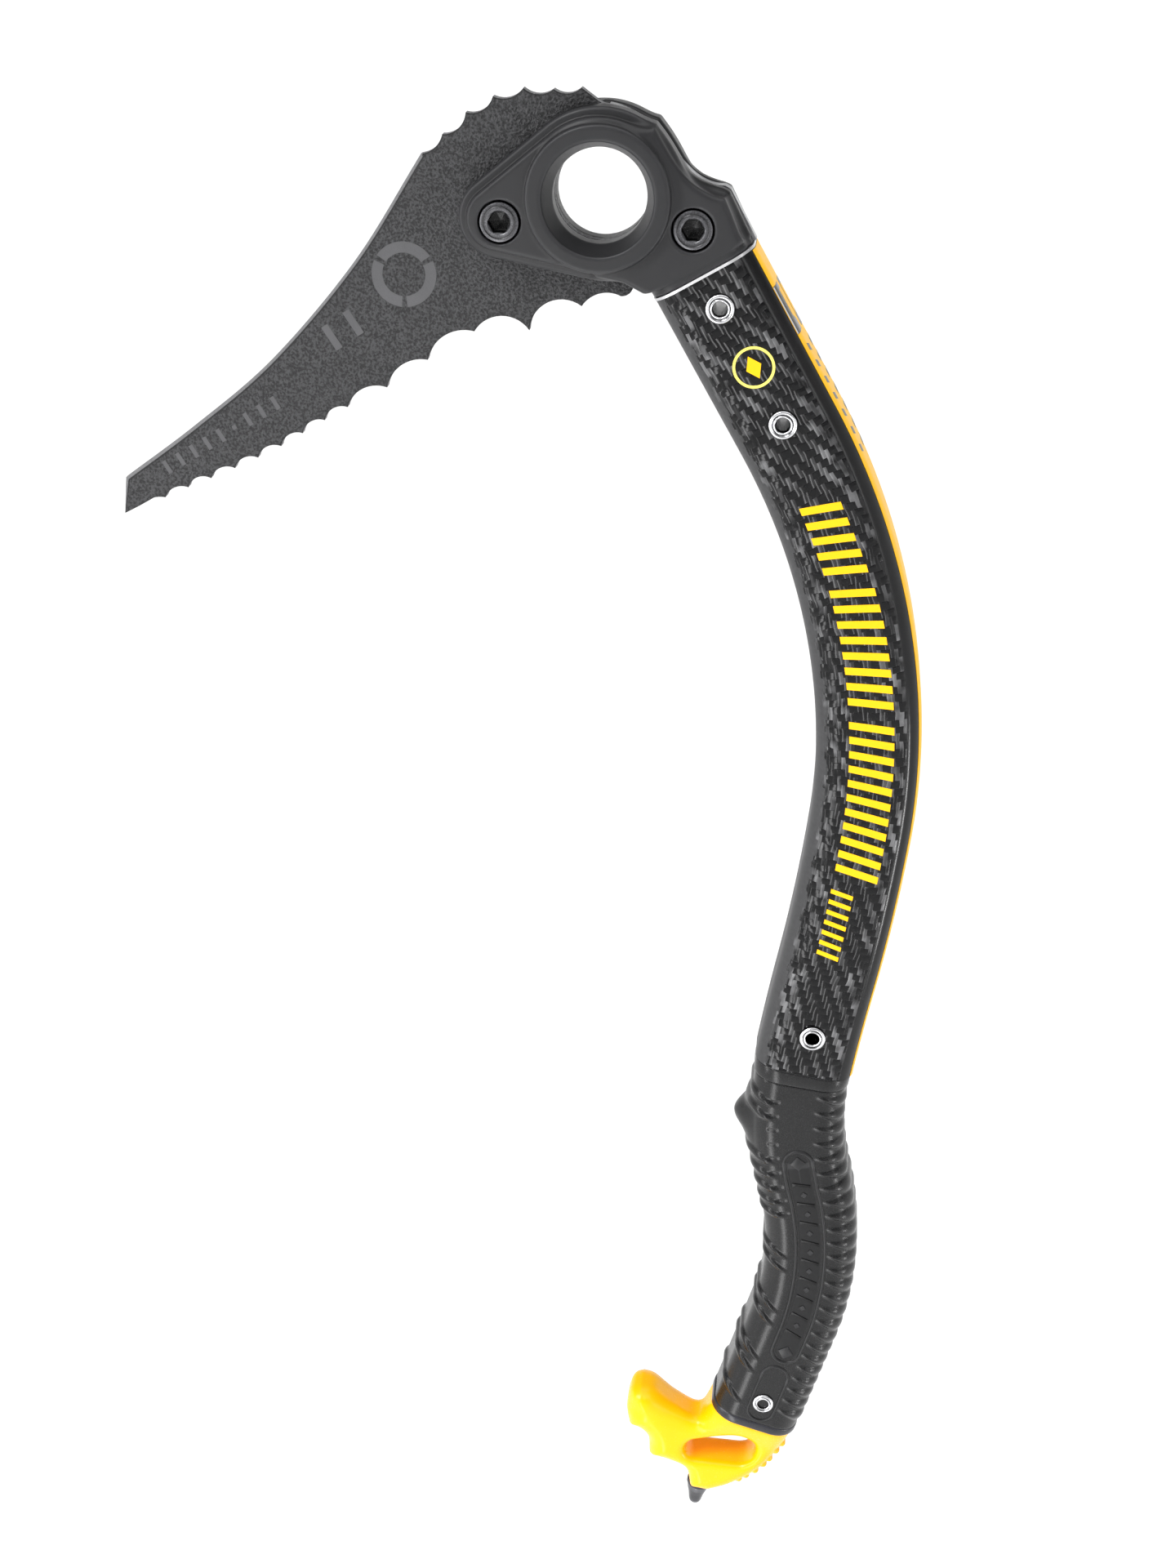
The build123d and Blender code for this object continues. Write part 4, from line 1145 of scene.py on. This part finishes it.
def make_side_marks():
    """Generic slanted bars in three groups and a short one, and a plain diamond in a ring."""
    marks = []
    for low, high, count in ((76.5, 99.5, 5), (104.0, 142.5, 8), (147.5, 199.5, 11)):
        for station in np.linspace(low + 1.5, high - 1.5, count):
            grow = fade(station, 76.0, 118.0)
            left, right = -6.5 + 0.7 * grow, 5.5 + 2.3 * grow
            marks.append(box_mark(station, (left + right) / 2, 2.4, right - left, 1.2))
    marks += [box_mark(station, -2.2, 1.5, 7.2, 0.7) for station in np.linspace(206.0, 228.0, 7)]
    marks.append(diamond(31.8, 0.5, 3.6, 2.4))
    parts = [prism(mark, SHAFT_WIDTH / 2 - 0.05, SHAFT_WIDTH / 2 + 0.14, edge=0.01) for mark in marks]
    add_prints("side_bars", *joined(parts), "yellow_film")
    add_prints("side_ring", *ring_mark(31.8, 0.5, 6.1, 5.3), "film_pale")


def make_film_marks():
    """Dark windows with a slash and rows of dashes, printed on the yellow film's two halves."""
    edge = FILM_REACH
    for side, sign in (("near", -1), ("far", 1)):
        def printed(name, corners, lift, thick, material):
            film(name + "_" + side, [(station, sign * u) for station, u in corners], lift, thick, material)

        printed("stripe_window", ((15.0, edge), (15.0, 2.0), (30.3, 2.0), (30.3, edge)), 0.18, 0.05,
                "film_black")
        printed("stripe_window_edge", ((15.2, edge), (15.2, edge - 0.5), (30.1, edge - 0.5), (30.1, edge)),
                0.23, 0.04, "film_grey")
        printed("stripe_slash", ((17.0, 5.0), (17.0, 2.2), (27.0, 2.2), (25.0, 5.0)), 0.23, 0.04,
                "yellow_film")
        for k in range(7):
            at = 34.0 + 5.4 * k
            printed("stripe_dash_%d" % k, ((at, 6.4), (at + 1.0, 3.0), (at + 3.2, 3.0), (at + 2.2, 6.4)),
                    0.18, 0.05, "film_grey_dark")


make_side_marks()
make_film_marks()


def finish_nodes():
    """Materials for the CAD nodes that are shown as they are."""
    for subpart in frame["record"]["subparts"]:
        node = frame["nodes"][subpart["node"]]
        node.data.materials.clear()
        node.data.materials.append(M[subpart["material_slot"]])


finish_nodes()


# ---- camera, floor and lights, in metres ----

CAMERA_SPOT = Vector((67.0, -673.8, 117.3)) * MM
CAMERA_AIM = Vector((-7.4, 0.0, -184.5)) * MM
CAMERA_SENSOR = 36.0
CAMERA_LENS = 53.92


def make_camera():
    data = bpy.data.cameras.new("camera")
    data.sensor_width = CAMERA_SENSOR
    data.lens = CAMERA_LENS
    data.clip_start = 0.01
    camera = new_object("camera", data)
    camera.location = CAMERA_SPOT
    camera.rotation_euler = (CAMERA_AIM - CAMERA_SPOT).to_track_quat("-Z", "Y").to_euler()
    bpy.context.scene.camera = camera


FLOOR_DROP = 0.45           # metres; the tool hangs clear, so that its shadow falls out of sight
FLOOR_FLAT = 9.0
FLOOR_BEND = 6.0


def make_floor():
    """A wide pale floor that curves up far away on every side."""
    low = CAD_BOX[0][2] - FLOOR_DROP
    profile = [(0.5, 0.0), (3.0, 0.0)]
    for t in np.linspace(0, pi / 2, 17):
        profile.append((FLOOR_FLAT + FLOOR_BEND * sin(t), FLOOR_BEND - FLOOR_BEND * cos(t)))
    points = lathe(profile, lambda a, b, h: np.stack([a, b, np.full(a.shape, low + h)], -1))
    rows, columns = points.shape[:2]
    faces = grid_faces(rows, columns, True)[:, ::-1].tolist()
    mesh = bpy.data.meshes.new("floor")
    mesh.from_pydata(points.reshape(-1, 3).tolist(), [], faces + [list(range(columns))])
    mesh.shade_smooth()
    floor = new_object("floor", mesh)
    white = plain("floor_white", (0.95, 0.95, 0.95), 0.8, grain=30.0, mottle=0.005, specular=0.1)
    mesh.materials.append(white)


def add_light(kind, name, spot, aim, energy, **settings):
    data = bpy.data.lights.new(name, kind)
    data.energy = energy
    for key, value in settings.items():
        setattr(data, key, value)
    light = new_object(name, data)
    light.location = spot
    light.rotation_euler = (Vector(aim) - Vector(spot)).to_track_quat("-Z", "Y").to_euler()


SKY = 0.22
# name: place, aim, power, width and height; long narrow lights whose reflections draw the edges
STRIPS = {
    "left_strip": ((-0.80, -0.45, 0.0), (0.0, 0.0, -0.22), 5.0, 0.10, 1.3),
    "low_panel": ((-0.16, -0.52, -0.50), (0.05, 0.0, -0.32), 2.2, 0.12, 0.8),
    "right_strip": ((0.9, -0.60, 0.0), (0.0, 0.0, -0.22), 1.2, 0.10, 1.3),
    "glint": ((0.85, -0.33, -0.62), (0.08, 0.0, -0.2), 1.5, 0.03, 0.35),
}


def make_light():
    """A soft key from the upper left, a broad light from above, a low even sky, and the strips."""
    world = bpy.data.worlds.new("world")
    world.use_nodes = True
    sky = world.node_tree.nodes["Background"].inputs
    sky["Color"].default_value = (1.0, 1.0, 1.0, 1.0)
    sky["Strength"].default_value = SKY
    bpy.context.scene.world = world
    bpy.context.scene.view_settings.view_transform = "Standard"
    add_light("SUN", "key", (-0.9, -1.0, 1.5), (0, 0, 0), 1.7, angle=radians(20))
    add_light("SUN", "overhead", (0.3, -0.3, 2.0), (0, 0, 0), 1.4, angle=radians(60))
    for name, (spot, aim, power, width, height) in STRIPS.items():
        add_light("AREA", name, spot, aim, power, shape="RECTANGLE", size=width, size_y=height)


make_camera()
make_floor()
make_light()
